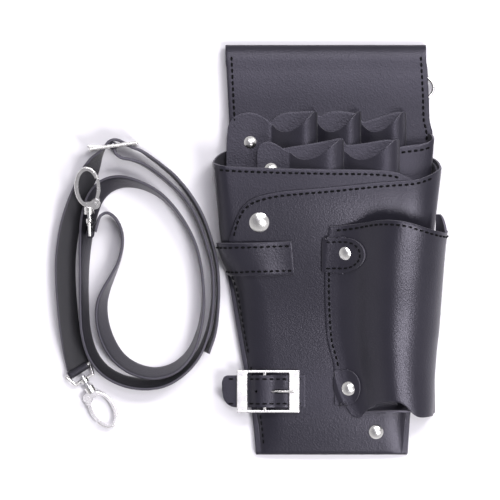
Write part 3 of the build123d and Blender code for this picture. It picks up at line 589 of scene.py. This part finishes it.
# tongues as (x, y, height above the row's base), linings as (x, y)
BACK_TONGUE = [(-66.2, 50, 1.6), (-66.3, 66, 1.6), (-65.9, 76, 1.6), (-64.6, 83, 1.6), (-61.5, 87.4, 1.6),
               (-56, 89.9, 1.6), (-49.8, 90.5, 1.6), (-43.6, 88.4, 1.7), (-38.4, 84.8, 1.9)]
BACK_LINING = [(-45, 84), (-38, 84.5), (-34.5, 87.6), (-29, 90.4), (-20, 91.4), (-8, 91.2), (-5.4, 88.4),
               (-1, 90.6), (6, 91.9), (14, 91.0), (20, 89.6), (23.5, 85.0), (30, 86.5), (40, 89.5),
               (48, 91.2), (51.2, 88)]
FRONT_TONGUE = [(-46.0, 38, 1.5), (-46.0, 60, 1.5), (-45.6, 66.4, 1.5), (-44.0, 69.4, 1.5),
                (-40.8, 70.8, 1.5), (-36.4, 70.6, 1.5), (-31, 67.8, 1.6), (-26.6, 64.8, 1.8)]
FRONT_LINING = [(-33, 66), (-28, 67.0), (-20, 68.4), (-10, 70.0), (2, 72.2), (9.6, 73.3), (12.6, 69.2),
                (18, 69.4), (28, 70.8), (38, 72.4), (46.6, 72.0)]


def shears_loops():
    loop_row("shears_loops_back", [-38.6, -6.2, 22.4, 52.1], LOOPS_BACK_Z, BACK_TONGUE, 77.6, 91.0, 10.2)
    flat_strip("loop_lining_back", BACK_LINING, LOOPS_BACK_Z + 1.4)
    loop_row("shears_loops_front", [-27.4, 11.0, 47.5], LOOPS_FRONT_Z, FRONT_TONGUE, 59.2, 72.6, 9.6)
    flat_strip("loop_lining_front", FRONT_LINING, LOOPS_FRONT_Z + 1.3)


# rims of the front pocket and of the overlay, as (x, y)
POCKET_EDGE = [(-76, 56.4), (-70, 55.2), (-40.9, 53.8), (2, 52.8), (22.2, 52.6), (38, 51.9), (46, 50.6),
               (52.5, 47.6), (58.1, 44.6), (63, 43.0), (72, 47.6), (76, 50)]
OVERLAY_EDGE = [(-64.1, 7), (-63, 11.2), (-60.3, 19.5), (-55.9, 27.7), (-51, 32.2), (-45.5, 34.8),
                (-36, 37.2), (-25.7, 38.6), (1.6, 40.9), (32.3, 44), (48, 45.2), (58.1, 45.8), (66, 47.8),
                (72.6, 50.8), (76, 53)]
POCKET_BOTTOM = -134.3
OVERLAY_BOTTOM = -133.6
OVERLAY_X = -64.1                  # the overlay's left edge above the tool band


def wall_lift(column, columns, corner, back):
    """Extra height of a rim along a side wall: 0 on the front, up to back at the foot."""
    t = min(column, columns - 1 - column) / (WALL - 1)
    return corner * ease(1 - t) + (back - corner) * ease(1 - t / Shell.WALL_SHARE) if t < 1 else 0.0


def upright_grid(shell, bottom, rims, rows):
    """Rows of points of a shell from bottom up to each column's own rim."""
    return [[shell.point(c, bottom + (rim - bottom) * j / (rows - 1)) for c, rim in enumerate(rims)]
            for j in range(rows)]


def front_pocket():
    columns = FRONT.columns
    rims = []
    for c in range(columns):
        corner, back = (1.8, 10.5) if c < columns / 2 else (4.0, 13.0)
        y = 54.0
        for _ in range(4):
            y = smooth_table(POCKET_EDGE, FRONT.point(c, y).x) + wall_lift(c, columns, corner, back)
        rims.append(y)
    grid = upright_grid(FRONT, POCKET_BOTTOM, rims, 96)
    obj = sheet_object("front_pocket_sheet", grid, SKIN)
    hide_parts("front_pocket")
    rim_path = []
    for c in range(WALL - 4, int(FRONT.column_at(50, 47))):
        y = rims[c] - 3.0
        p = FRONT.point(c, y)
        dy = FRONT.point(c, y + 1) - FRONT.point(c, y - 1)
        n = (FRONT.point(c + 0.5, y) - p).cross(dy).normalized()
        rim_path.append((p + n * STITCH_LIFT, n))
    seam("front_pocket_stitches", [rim_path], r=THICK_THREAD)


def overlay_left(y):
    """Left edge of the overlay: a little inside the body's edge below the tool band."""
    low = smooth_table(LEFT, y) + 2.3
    return low + (OVERLAY_X - low) * ease((y + 16) / 20)


def overlay_share(share, y):
    """Column number on the front: share 0 at the overlay's left edge, 1 near the right wall's foot."""
    c0 = FRONT.column_at(overlay_left(y), y) if y > -10 else max(overlay_column(y), 0.0)
    c1 = FRONT.columns - 2.0
    return c0 + (c1 - c0) * share


def overlay_column(y):
    """Column number of the overlay's left edge, also where that edge lies on the wall."""
    row = FRONT.section(y)
    x = overlay_left(y)
    for k in range(len(row) - 1):
        if row[k][0] <= x <= row[k + 1][0]:
            return k + (x - row[k][0]) / max(row[k + 1][0] - row[k][0], 1e-9)
    return 0.0


def overlay():
    shares = [0, 0.004, 0.009, 0.015, 0.022, 0.03, 0.04, 0.052, 0.066, 0.082, 0.1, 0.12, 0.14]
    shares += [0.16 + 0.84 * i / 64 for i in range(65)]
    rims = []
    for s in shares:
        y = 40.0
        for _ in range(12):
            c = overlay_share(s, y)
            p = FRONT.point(c, y)
            over = max(c - (FRONT.columns - WALL), 0) / (WALL - 1)
            aim = smooth_table(OVERLAY_EDGE, p.x) + 3.0 * ease(over * 1.4) + 9.0 * ease((over - 0.55) / 0.45)
            y = 0.5 * y + 0.5 * aim
        rims.append(y)
    rims[0] = min(rims[0], 8.0)
    grid = []
    rows = 90
    for j in range(rows):
        v = j / (rows - 1)
        row = []
        for s, rim in zip(shares, rims):
            y = OVERLAY_BOTTOM + (rim - OVERLAY_BOTTOM) * v
            row.append(FRONT.point(overlay_share(s, y), y))
        grid.append(row)
    lifted = lift_grid(grid, OVER)
    obj = sheet_object("front_overlay_sheet", lifted, SKIN - 0.1)
    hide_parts("front_overlay")
    top = []
    for i, (s, rim) in enumerate(zip(shares, rims)):
        if 0 < i < len(shares) - 9:
            drop = 2.6 if i > 12 else 2.6 * i / 12
            share = s + (0.018 if i < 12 else 0) * (1 - i / 12)
            y = rim - drop
            p = FRONT.point(overlay_share(share, y), y)
            _, n = FRONT.at(p.x, y)
            top.append((p + n * (OVER + STITCH_LIFT), n))
    seam("overlay_stitches", [top], r=THICK_THREAD)
    side = [FRONT.at(overlay_left(y) + 2.2, y, OVER + STITCH_LIFT) for y in range(-16, -132, -4)]
    seam("side_seam_stitches", [side[:14], side[15:]], r=0.5)


def lift_grid(grid, lift):
    """Move every point of a grid along the surface's own normal."""
    rows, cols = len(grid), len(grid[0])
    lifted = []
    for r in range(rows):
        row = []
        for c in range(cols):
            du = Vector(grid[r][min(c + 1, cols - 1)]) - Vector(grid[r][max(c - 1, 0)])
            dv = Vector(grid[min(r + 1, rows - 1)][c]) - Vector(grid[max(r - 1, 0)][c])
            n = du.cross(dv)
            n = n.normalized() if n.length > 1e-9 else Vector((0, 0, 1))
            row.append(Vector(grid[r][c]) + n * lift)
        lifted.append(row)
    return lifted


# rim of the rear pocket, as (x, y)
REAR_EDGE = [(-76, 44), (-52, 46), (-44, 54), (-34, 63), (0, 64), (40, 66), (48.4, 68.0), (60, 69.0),
             (66, 69.8), (70, 71.4), (74, 73)]
REAR_BOTTOM = -20


def rear_pocket():
    rims = []
    for c in range(REAR.columns):
        y = 66.0
        for _ in range(4):
            y = smooth_table(REAR_EDGE, REAR.point(c, y).x)
            y += wall_lift(c, REAR.columns, 3.2, 6.0) if c > REAR.columns / 2 else 0.0
        rims.append(y)
    grid = upright_grid(REAR, REAR_BOTTOM, rims, 40)
    obj = sheet_object("rear_pocket_sheet", grid, 1.4)
    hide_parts("rear_pocket")
    path = []
    for c in range(int(REAR.column_at(44, 64)), REAR.columns - WALL + 7):
        y = rims[c] - 4.0
        path.append(REAR.at(REAR.point(c, y).x, y, STITCH_LIFT))
    seam("rear_pocket_stitches", [path], r=THICK_THREAD)


# ---- side pocket

# along y: x of the left and the right edge, and how far the front rises
S_LEFT = [(24, 1.6), (15.2, 1.3), (0, -1.0), (-14.5, -1.7), (-30.4, -1.7), (-52.5, -0.6), (-60.7, 0.4),
          (-73.3, 3.8), (-86, 6.0), (-100, 10.5), (-111, 17.2)]
S_RIGHT = [(24, 78.8), (11.2, 78.5), (1.3, 77.4), (-30, 75.2), (-52.5, 73.7), (-65, 72.3), (-84, 70.9),
           (-103, 70.2), (-111, 69.4)]
S_RISE = [(24, 19.0), (15, 19.5), (-30, 21.5), (-75, 21), (-100, 17.5), (-111, 15.5)]
# share of the width to share of the rise, then the rim and the bottom edge as (x, y)
S_HUMP = [(0, 0), (0.07, 0.005), (0.15, 0.045), (0.26, 0.23), (0.37, 0.60), (0.47, 0.88), (0.56, 1.0),
          (0.67, 0.985), (0.78, 0.88), (0.87, 0.70), (0.94, 0.47), (0.98, 0.23), (1.0, 0.0)]
S_TOP = [(1.3, 15.2), (10, 15.8), (20.3, 17.2), (29, 18.8), (36, 19.4), (42.9, 19.2), (51.9, 18.0),
         (61.4, 15.2), (70.9, 12.4), (78.5, 11.0)]
S_BOTTOM = [(14, -108), (18.5, -110.4), (21.6, -110.2), (26.7, -105.2), (31, -101.9), (36.8, -99.8),
            (44.4, -99.4), (50, -101.6), (54, -105), (57.5, -108.6), (62, -110.0), (69.6, -109.2)]
S_CORNER = 11.0, -109.2            # top and bottom of the outer right edge
S_BACK_RISE = 12.5                 # how much higher the back wall stands there
ACROSS, UNDER = 70, 14             # columns over the front and behind it
UNDER_DEPTH = 11.0
UNDER_LOWEST = 2.4


def side_base(y):
    """Height at which the side pocket leaves the overlay."""
    return smooth_table(sorted(TOPS), y) + OVER + SKIN


def side_point(u, y):
    """Point on the side pocket's outer face: u 0..1 over the front, 1..2 round behind its right edge."""
    left, right, rise = (smooth_table(sorted(t), y) for t in (S_LEFT, S_RIGHT, S_RISE))
    if u <= 1:
        x = left + (right - left) * u
        return Vector((x, y, side_base(y) + rise * smooth_table(S_HUMP, u)))
    body = (smooth_table(RIGHT, y) + smooth_table(RIGHT_FOOT, y)) / 2 + 0.8
    a = (u - 1) * math.pi / 2
    x = right - (right - body) * (1 - math.cos(a))
    return Vector((x, y, max(side_base(y) - UNDER_DEPTH * math.sin(a), UNDER_LOWEST)))


def side_pocket():
    spots = [i / ACROSS for i in range(ACROSS + 1)] + [1 + (i + 1) / UNDER for i in range(UNDER)]
    ends = []
    for u in spots:
        top, bottom = S_CORNER[0] + S_BACK_RISE * ease((u - 1) * 1.3), S_CORNER[1] + 2 * (u - 1)
        if u <= 1:
            top, bottom = 15.0, -108.0
            for _ in range(3):
                top = smooth_table(S_TOP, side_point(u, top).x)
                bottom = smooth_table(S_BOTTOM, side_point(u, bottom).x)
        ends.append((bottom, top))
    rows = 64
    grid = [[side_point(u, low + (high - low) * j / (rows - 1)) for u, (low, high) in zip(spots, ends)]
            for j in range(rows)]
    obj = sheet_object("side_pocket_sheet", grid, SKIN)
    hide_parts("side_pocket")
    rim = [side_spot(spots[i], ends[i][1] - 2.7, STITCH_LIFT) for i in range(4, ACROSS + 6)]
    edge = []
    for y in range(-14, -78, -3):
        width = smooth_table(sorted(S_RIGHT), y) - smooth_table(sorted(S_LEFT), y)
        edge.append(side_spot(2.8 / width, y, STITCH_LIFT))
    seam("side_pocket_stitches", [rim, edge])


def side_spot(u, y, lift):
    """Point above the side pocket's outer face, and the normal there."""
    du = side_point(min(u + 0.01, 1.99), y) - side_point(max(u - 0.01, 0.0), y)
    dv = side_point(u, y + 1) - side_point(u, y - 1)
    n = du.cross(dv).normalized()
    return side_point(u, y) + n * lift, n


def patch_point(x, y):
    """Outer face under a tab at (x, y): the side pocket, or the overlay left of it."""
    left, right = smooth_table(sorted(S_LEFT), y), smooth_table(sorted(S_RIGHT), y)
    if x >= left:
        return side_spot((x - left) / (right - left), y, 0.0)
    p, n = FRONT.at(x, y, OVER)
    drop = ease((left - x) / 3.0)
    return Vector((x, y, p.z + SKIN * (1 - drop))), n


def side_tab(name, node, x0, x1, y0, y1, stitched):
    """D-shaped reinforcing patch over the side pocket's seam."""
    middle, half = (y0 + y1) / 2, (y1 - y0) / 2
    reach = (x1 - x0) * 0.5
    grid = []
    for j in range(29):
        a = -math.pi / 2 + math.pi * j / 28
        y = middle + half * math.sin(a)
        end = x1 - reach + reach * math.cos(a)
        grid.append([patch_point(x0 + (end - x0) * i / 24, y)[0] for i in range(25)])
    obj = sheet_object(name, lift_grid(grid, SKIN), 1.4)
    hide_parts(node)
    if stitched:
        inset = 2.5
        path = [(x0 + 1.5, y1 - inset)]
        path += [(x1 - reach + (reach - inset) * math.cos(a), middle + (half - inset) * math.sin(a))
                 for a in [math.pi / 2 - math.pi * k / 16 for k in range(17)]]
        path.append((x0 + 1.5, y0 + inset))
        spots = [patch_point(x, y) for x, y in path]
        line = [(p + n * (SKIN + STITCH_LIFT), n) for p, n in spots]
        seam(name + "_stitches", [line], pitch=3.6, r=THIN_THREAD)


BASE_Y = -106.5                    # where the gusset takes its outline from the side pocket


def side_base_piece():
    """Dark gusset that closes the side pocket's bottom behind the arch."""
    floor = side_base(BASE_Y) - 1.4
    grid = []
    for j in range(10):
        row = []
        for i in range(41):
            p = side_point(0.12 + 0.86 * i / 40, BASE_Y)
            y = BASE_Y - 1.1 + 1.2 * math.sin(math.pi * i / 40)
            row.append((p.x, y, floor + (p.z - 1.7 - floor) * j / 9))
        grid.append(row)
    obj = sheet_object("side_pocket_base_sheet", grid, 1.2, mats=[INSIDE, INSIDE, EDGE])
    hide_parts("side_pocket_base")


BAND_LEFT, BAND_RIGHT = -68.4, -21.7
BAND_LOW, BAND_HIGH = -15.4, 5.3


def tool_band():
    """Strip sewn at both ends over the overlay, wrapped over the body's left side."""
    grid = []
    for j in range(13):
        v = j / 12
        row = []
        for i in range(49):
            u = i / 48
            x1 = BAND_RIGHT - 1.9 * v
            y = BAND_LOW + (BAND_HIGH + u - BAND_LOW) * v
            start = FRONT.column_at(BAND_LEFT, y)
            first = max(start - 9 + 2.0 * (1 - v), 4.0)
            c = first + (FRONT.column_at(x1, y) - first) * u
            p = FRONT.point(c, y)
            du = FRONT.point(c + 0.6, y) - FRONT.point(c - 0.6, y)
            dv = FRONT.point(c, y + 1) - FRONT.point(c, y - 1)
            n = du.cross(dv).normalized()
            lift = OVER + 1.7 + 1.6 * math.sin(math.pi * min(max((u - 0.05) / 0.9, 0), 1)) ** 2
            row.append(p + n * lift)
        grid.append(row)
    obj = sheet_object("tool_band_sheet", grid, 1.4)
    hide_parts("tool_band")
    rows = []
    for k, f in ((1, 0.55), (10, 0.45)):
        line = []
        for i in range(3, 48):
            p = grid[k][i].lerp(grid[k + 1][i], f)
            n = (grid[k][i + 1] - grid[k][i - 1]).cross(grid[k + 1][i] - grid[k][i]).normalized()
            line.append((p + n * STITCH_LIFT, n))
        rows.append(line)
    seam("tool_band_stitches", rows, pitch=3.9)


# ---- leather of the pouch's buckle

BUCKLE_Y = -93.0
BUCKLE_Z = 10.65                   # height from which the strap's route is measured
BUCKLE_BAR = (-41.0, 13.0)         # the bar's x and z
BUCKLE_HALF = 10.5                 # half the strap's width


def buckle_strap():
    z = BUCKLE_Z
    over = BUCKLE_BAR[1] + 2.6
    line = [(-69.3, z + 1.1), (-60, z + 1.4), (-52, z + 1.6), (-46.5, over + 0.6), (-41, over + 1.4),
            (-35.5, over + 0.7), (-28, z + 2.2), (-22, z + 1.5), (-14.5, z + 1.4)]
    fine = curve_points([(x, 0, h) for x, h in line], 0.9)
    grid = []
    half = BUCKLE_HALF
    for p in fine:
        near = max(-60.0 - p.x, 0) / 9.3
        low = -half + (half + 1.0) * (1 - math.sqrt(max(1 - near ** 2.2, 0)))
        high = half - 4.2 * (1 - math.sqrt(max(1 - max((near - 0.55) / 0.45, 0) ** 2, 0)))
        grid.append([(p.x, BUCKLE_Y + low + (high - low) * k / 16, p.z) for k in range(17)])
    grid = [list(r) for r in zip(*grid)]
    obj = sheet_object("buckle_strap_sheet", grid, 1.4)
    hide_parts("buckle_strap")
    punch(obj, [(-46.8, BUCKLE_Y, 0.95, 0.95), (-31.8, BUCKLE_Y, 5.2, 1.5)])
    rows = [[((p.x, BUCKLE_Y + side * 8.1, p.z + STITCH_LIFT), (0, 0, 1)) for p in fine if -66 < p.x < -15.5]
            for side in (-1, 1)]
    seam("buckle_strap_stitches", rows, pitch=4.4, r=THIN_THREAD)


def punch(obj, holes):
    """Cut oval holes straight down through a sheet."""
    bm = bmesh.new()
    for x, y, a, b in holes:
        turns = [2 * math.pi * k / 24 for k in range(24)]
        ring = [((x + a * math.cos(t)) * MM, (y + b * math.sin(t)) * MM) for t in turns]
        low, high = ([bm.verts.new((*spot, z)) for spot in ring] for z in (0.0, 0.04))
        bm.faces.new(low[::-1])
        bm.faces.new(high)
        for k in range(24):
            bm.faces.new((low[k], low[(k + 1) % 24], high[(k + 1) % 24], high[k]))
    mesh = bpy.data.meshes.new("punch")
    bm.to_mesh(mesh)
    bm.free()
    tool = bpy.data.objects.new("punch", mesh)
    scene.collection.objects.link(tool)
    for mod in list(obj.modifiers):
        obj.modifiers.remove(mod)
    cut = obj.modifiers.new("holes", "BOOLEAN")
    cut.object = tool
    cut.operation = "DIFFERENCE"
    bpy.context.view_layer.update()
    done = bpy.data.meshes.new_from_object(obj.evaluated_get(bpy.context.evaluated_depsgraph_get()))
    obj.modifiers.clear()
    obj.data = done
    bpy.data.objects.remove(tool)
    soften(obj, 0.3)


def roll(name, start, way, length, bore, wall, body="holster", mat=POUCH):
    """A leather or webbing fold rolled round a bar that starts at start and runs along way (mm)."""
    way = Vector(way).normalized()
    side = way.orthogonal().normalized()
    up = way.cross(side)
    rings = []
    shares = [0, 0.03, 0.1, 0.3, 0.5, 0.7, 0.9, 0.97, 1]
    for r, order in ((bore + wall, shares), (bore, shares[::-1])):
        for s in order:
            pinch = 0.25 if s in (0, 1) else 0.0
            rad = r - pinch if r > bore else r + pinch
            mid = Vector(start) + way * (length * s)
            rings.append([mid + (side * math.cos(t) + up * math.sin(t)) * rad
                          for t in [2 * math.pi * k / 28 for k in range(28)]])
    bm = bmesh.new()
    loops = [[bm.verts.new(p * MM) for p in ring] for ring in rings]
    loops.append(loops[0])
    for a, b in zip(loops, loops[1:]):
        for k in range(28):
            bm.faces.new((a[k], a[(k + 1) % 28], b[(k + 1) % 28], b[k]))
    bmesh.ops.recalc_face_normals(bm, faces=bm.faces)
    mesh = bpy.data.meshes.new(name)
    bm.to_mesh(mesh)
    bm.free()
    return add_object(name, mesh, [mat], body)


def buckle_chape():
    x, z = BUCKLE_BAR
    obj = roll("buckle_chape_sheet", (x, BUCKLE_Y - 9, z), (0, 1, 0), 18, 1.3, 0.9)
    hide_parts("buckle_chape")


CHAPE_Y, CHAPE_WIDTH, CHAPE_Z = 101.4, 11.2, 3.85
CHAPE_TAIL = 16                    # length of leather riveted to the panel


def ring_chapes():
    for side, bar, name in ((-1, 55, "left"), (1, 61, "right")):
        start = (side * bar, CHAPE_Y, CHAPE_Z)
        obj = roll(f"d_ring_chape_{name}_sheet", start, (0, 1, 0), CHAPE_WIDTH, 1.2, 1.0)
        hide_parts("d_ring_chape_" + name)
        grid = [[(side * (bar - CHAPE_TAIL * i / 12), CHAPE_Y + CHAPE_WIDTH * j / 6, CHAPE_Z - 0.15)
                 for i in range(13)] for j in range(7)]
        sheet_object("d_ring_tail_" + name, grid, 2.0)


# ---- strap (mm)

STRAP_W = 15.0
STRAP_T = 1.8
STRAP_ROUND = 0.55        # radius of its long edges
# centre lines of the two straps: x, y, angle of the width above the table, lift
HOLED_ROUTE = [
    (-164, -78, 4, 1.6), (-166, -70, 8, 0.9), (-168, -61, 20, 0), (-170, -50, 28, 0), (-171.5, -36, 30, 0),
    (-172.5, -20, 30, 0), (-172.5, -6, 30, 0), (-171, 8, 31, 0), (-168.5, 20, 33, 0), (-165, 31, 36, 0),
    (-161, 41, 40, 0), (-156.5, 51, 45, 0), (-152.6, 58.6, 62, 0.8), (-149.5, 63.3, 80, 2.2),
    (-146.5, 67.6, 90, 3), (-143.8, 71.1, 90, 3), (-140.6, 72.6, 90, 3), (-136.6, 72.0, 90, 3),
    (-131.6, 69.2, 90, 3), (-126.8, 67.0, 90, 3), (-122.7, 65.4, 89, 2.5), (-117, 61.6, 87, 1.5),
    (-109, 55.6, 86, 0.5), (-101, 48.8, 85, 0), (-91, 37, 85, 0),
    (-82.2, 22, 85, 0), (-75.6, 3, 86, 0), (-72.6, -10.5, 87, 0), (-71.6, -25, 87, 0), (-72.2, -39, 86, 0),
    (-74.6, -55, 83, 0), (-79.4, -67.6, 78, 0),
]
PLAIN_ROUTE = [
    (-140.1, 66.7, 90, 3), (-139.2, 63.4, 90, 3), (-135.6, 60.8, 90, 2.8), (-129, 59.4, 89, 2),
    (-122, 56.8, 87, 1), (-114.5, 52.2, 86, 0.3),
    (-105, 44.8, 85, 0), (-94.5, 34.4, 85, 0), (-86, 20.8, 85, 0), (-79.4, 2.5, 86, 0), (-76, -11, 87, 0),
    (-75.1, -25, 87, 0), (-75.7, -38.5, 86, 0), (-78.6, -54, 83, 0), (-85, -69, 78, 0), (-95.5, -80, 70, 0),
    (-108, -87, 66, 0), (-122, -88.6, 65, 0), (-136, -85.6, 65, 0), (-147, -79, 65, 0),
    (-154.5, -69, 66, 0), (-159, -54, 68, 0), (-160.2, -36, 70, 0), (-160.2, -16, 70, 0),
    (-159.4, 4, 62, 0), (-157.2, 21, 50, 0), (-153, 34, 46, 0), (-146.5, 41.5, 48, 0), (-136.5, 45, 60, 0),
    (-124, 43.2, 74, 0), (-112, 37.6, 80, 0), (-102.3, 29, 84, 0), (-93.8, 17.5, 86, 0),
    (-87, 4, 87, 0), (-83.4, -10, 88, 0), (-81.6, -25, 88, 0), (-81.8, -39, 86, 0), (-84.2, -53, 82, 0),
    (-90, -67.5, 74, 0), (-100, -77.5, 66, 0), (-113, -81.4, 62, 0), (-126.5, -78.6, 60, 0),
    (-137, -71.4, 58, 0), (-144.4, -60, 57, 0), (-148.4, -46, 60, 0), (-148.2, -34, 66, 0),
    (-145.6, -26, 74, 0), (-141.6, -17.5, 82, 0), (-137.4, -8, 88, 0), (-134.8, 3.5, 90, 0),
    (-135.5, 13, 90, 0.5), (-139.5, 21, 90, 2), (-144.6, 24.4, 90, 4.5), (-149, 22.6, 89, 7),
    (-151.4, 17.2, 86, 8), (-153.2, 12.1, 82, 8.4),
]


def ribbed():
    """Woven back of the strap: fine ribs across it, from the ribbon's own coordinates."""
    mat, nodes, links, shader = shader_of("strap_back")
    uv = nodes.new("ShaderNodeUVMap")
    uv.uv_map = "run"
    wave = node(nodes, "TexWave", Scale=0.45, Distortion=0.6, Detail=2.0)
    wave.wave_type = "BANDS"
    wave.bands_direction = "X"
    links.new(uv.outputs["UV"], wave.inputs["Vector"])
    cross = node(nodes, "TexWave", Scale=0.5, Distortion=0.5)
    cross.bands_direction = "Y"
    links.new(uv.outputs["UV"], cross.inputs["Vector"])
    both = nodes.new("ShaderNodeMath")
    both.operation = "MULTIPLY"
    links.new(wave.outputs["Fac"], both.inputs[0])
    links.new(cross.outputs["Fac"], both.inputs[1])
    bump = node(nodes, "Bump", Strength=0.5, Distance=0.0003)
    links.new(both.outputs[0], bump.inputs["Height"])
    links.new(bump.outputs["Normal"], shader.inputs["Normal"])
    ramp = colour_ramp(nodes, (0.008, 0.008, 0.011), (0.03, 0.028, 0.037))
    links.new(both.outputs[0], ramp.inputs["Fac"])
    links.new(ramp.outputs["Color"], shader.inputs["Base Color"])
    shader.inputs["Roughness"].default_value = 0.6
    shader.inputs["Sheen Weight"].default_value = 0.2
    return mat


STRAP_BACK = ribbed()
STRAP_EDGE = leather("strap_edge", (0.045, 0.043, 0.053), (0.07, 0.066, 0.082), rough=0.45)


def ribbon(name, route, node, faces_left):
    """Flat strap along a route. Its upper edge leans to the left of the way it runs."""
    line = curve_points([(x, y, lift) for x, y, _, lift in route], 1.6)
    run = [0.0]
    for a, b in zip(line, line[1:]):
        run.append(run[-1] + (b - a).length)
    knots = []
    for x, y, _, lift in route:
        target = Vector((x, y, lift))
        knots.append(min(range(len(line)), key=lambda i: (line[i] - target).length))
    half_w, half_t = STRAP_W / 2, STRAP_T / 2
    r = STRAP_ROUND
    corner = [(half_w - r, half_t), (half_w - 0.3 * r, half_t - 0.3 * r), (half_w, half_t - r)]
    ring = []
    for sx, sy in ((1, 1), (1, -1), (-1, -1), (-1, 1)):
        part = [(sx * a, sy * b) for a, b in corner]
        ring += part if sx * sy > 0 else part[::-1]
    ring = widen(ring)
    angles = [(j, angle) for j, (_, _, angle, _) in enumerate(route)]
    verts, loops = [], []
    for i, mid in enumerate(line):
        k = max(j for j, knot in enumerate(knots[:-1]) if knot <= i)
        f = min((i - knots[k]) / max(knots[k + 1] - knots[k], 1), 1.0)
        lean = math.radians(smooth_table(angles, k + f))
        way = line[min(i + 1, len(line) - 1)] - line[max(i - 1, 0)]
        out = Vector((-way.y, way.x, 0)).normalized()
        c, s = math.cos(lean), math.sin(lean)
        across = out * c + Vector((0, 0, s))
        through = Vector((0, 0, c)) - out * s
        centre = mid + Vector((0, 0, half_w * s + half_t * c))
        loops.append(len(verts))
        verts += [centre + across * a + through * b for a, b in ring]
    n = len(ring)
    faces, uvs, kinds = [], [], []
    walk = [0.0]
    for (a0, b0), (a1, b1) in zip(ring, ring[1:] + ring[:1]):
        walk.append(walk[-1] + math.hypot(a1 - a0, b1 - b0))
    for i in range(len(line) - 1):
        for k in range(n):
            q = (k + 1) % n
            faces.append((loops[i] + k, loops[i] + q, loops[i + 1] + q, loops[i + 1] + k))
            u0, u1, v0, v1 = run[i], run[i + 1], walk[k], walk[k + 1]
            uvs.append([(u0, v0), (u0, v1), (u1, v1), (u1, v0)])
            mid_a, mid_b = (ring[k][0] + ring[q][0]) / 2, (ring[k][1] + ring[q][1]) / 2
            if abs(mid_a) > half_w - 0.75:
                kinds.append(2)
            else:
                kinds.append(0 if (mid_b > 0) == faces_left else 1)
    faces.append(tuple(range(n))[::-1])
    faces.append(tuple(loops[-1] + k for k in range(n)))
    uvs += [[(0, 0)] * n, [(0, 0)] * n]
    kinds += [2, 2]
    mesh = bpy.data.meshes.new(name)
    mesh.from_pydata([v * MM for v in verts], [], faces)
    layer = mesh.uv_layers.new(name="run")
    for poly, coords, kind in zip(mesh.polygons, uvs, kinds):
        poly.material_index = kind
        for spot, uv in zip(poly.loop_indices, coords):
            layer.data[spot].uv = uv
    obj = add_object(name, mesh, [STRAP, STRAP_BACK, STRAP_EDGE], "strap")
    fix_normals(mesh)
    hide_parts(node)
    return obj, run[-1]


def widen(ring):
    """Add points along the two wide faces of the ribbon's section, crowned a little."""
    done = []
    for (a0, b0), (a1, b1) in zip(ring, ring[1:] + ring[:1]):
        done.append((a0, b0))
        if abs(a1 - a0) > 3:
            for k in range(1, 6):
                f = k / 6
                done.append((a0 + (a1 - a0) * f, b0 + 0.12 * math.sin(math.pi * f) * (1 if b0 > 0 else -1)))
    return done


# each snap hook: its origin, the way it points, and the way its eye's bar runs
HOOK_LOW = (-158.0, -89.0, 3.1), (0.53, -0.848, 0), (0.848, 0.53, 0)
HOOK_HIGH = (-156.4, 22.6, 16.0), (-0.06, 0.985, 0.16), (-0.0097, -0.16, 0.987)
EYE_BAR = -11.5                    # the eye's bar, along the way the hook points
FOLD_BORE, FOLD_WALL = 1.25, 1.5


def strap_fold(name, hook, width):
    """The strap's end folded round a hook's eye."""
    origin, way, bar_way = (Vector(v) for v in hook)
    bar_way.normalize()
    bar = origin + way.normalized() * EYE_BAR
    roll(name, bar - bar_way * (width / 2), bar_way, width, FOLD_BORE, FOLD_WALL, "strap", STRAP)


def straps():
    plain, length = ribbon("strap_long", PLAIN_ROUTE, "strap_plain", True)
    print("long strap", round(length), "mm")
    holed, length = ribbon("strap_short", HOLED_ROUTE, "strap_holed", False)
    print("short strap", round(length), "mm")
    roll("strap_fold_buckle", (-140.6, 68.6, 3.6), (0, 0, 1), 14.2, 1.35, 1.3, "strap", STRAP)
    strap_fold("strap_fold_low", HOOK_LOW, 14.4)
    strap_fold("strap_fold_high", HOOK_HIGH, 14.0)


# ---- metal parts, and everything together

def dress_metal():
    """Plated parts keep their CAD shape and get the nickel finish."""
    plated = ["overlay_snap", "upper_tab_rivet", "lower_tab_rivet", "bottom_rivet", "loop_rivet_back",
              "loop_rivet_front", "belt_rivets", "chape_rivets", "buckle_frame", "buckle_prong",
              "d_ring_left", "d_ring_right", "strap_buckle_frame", "strap_buckle_prong"]
    plated += [part + "_" + end for part in ("eye", "hook", "gate", "gate_pin") for end in ("low", "high")]
    for name in plated:
        paint(name, NICKEL)
    for end in ("low", "high"):
        paint("swivel_post_" + end, STEEL)


def paint(name, mat):
    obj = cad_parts[name]
    obj.data.materials.clear()
    obj.data.materials.append(mat)


def main():
    set_stage()
    straps()
    back_panel()
    rear_pocket()
    shears_loops()
    front_pocket()
    overlay()
    side_pocket()
    side_base_piece()
    side_tab("upper_tab_sheet", "upper_tab", -3.0, 24.8, -14.2, 8.1, True)
    side_tab("lower_tab_sheet", "lower_tab", 4.9, 21.9, -101.8, -79.1, False)
    tool_band()
    buckle_strap()
    buckle_chape()
    ring_chapes()
    dress_metal()


main()
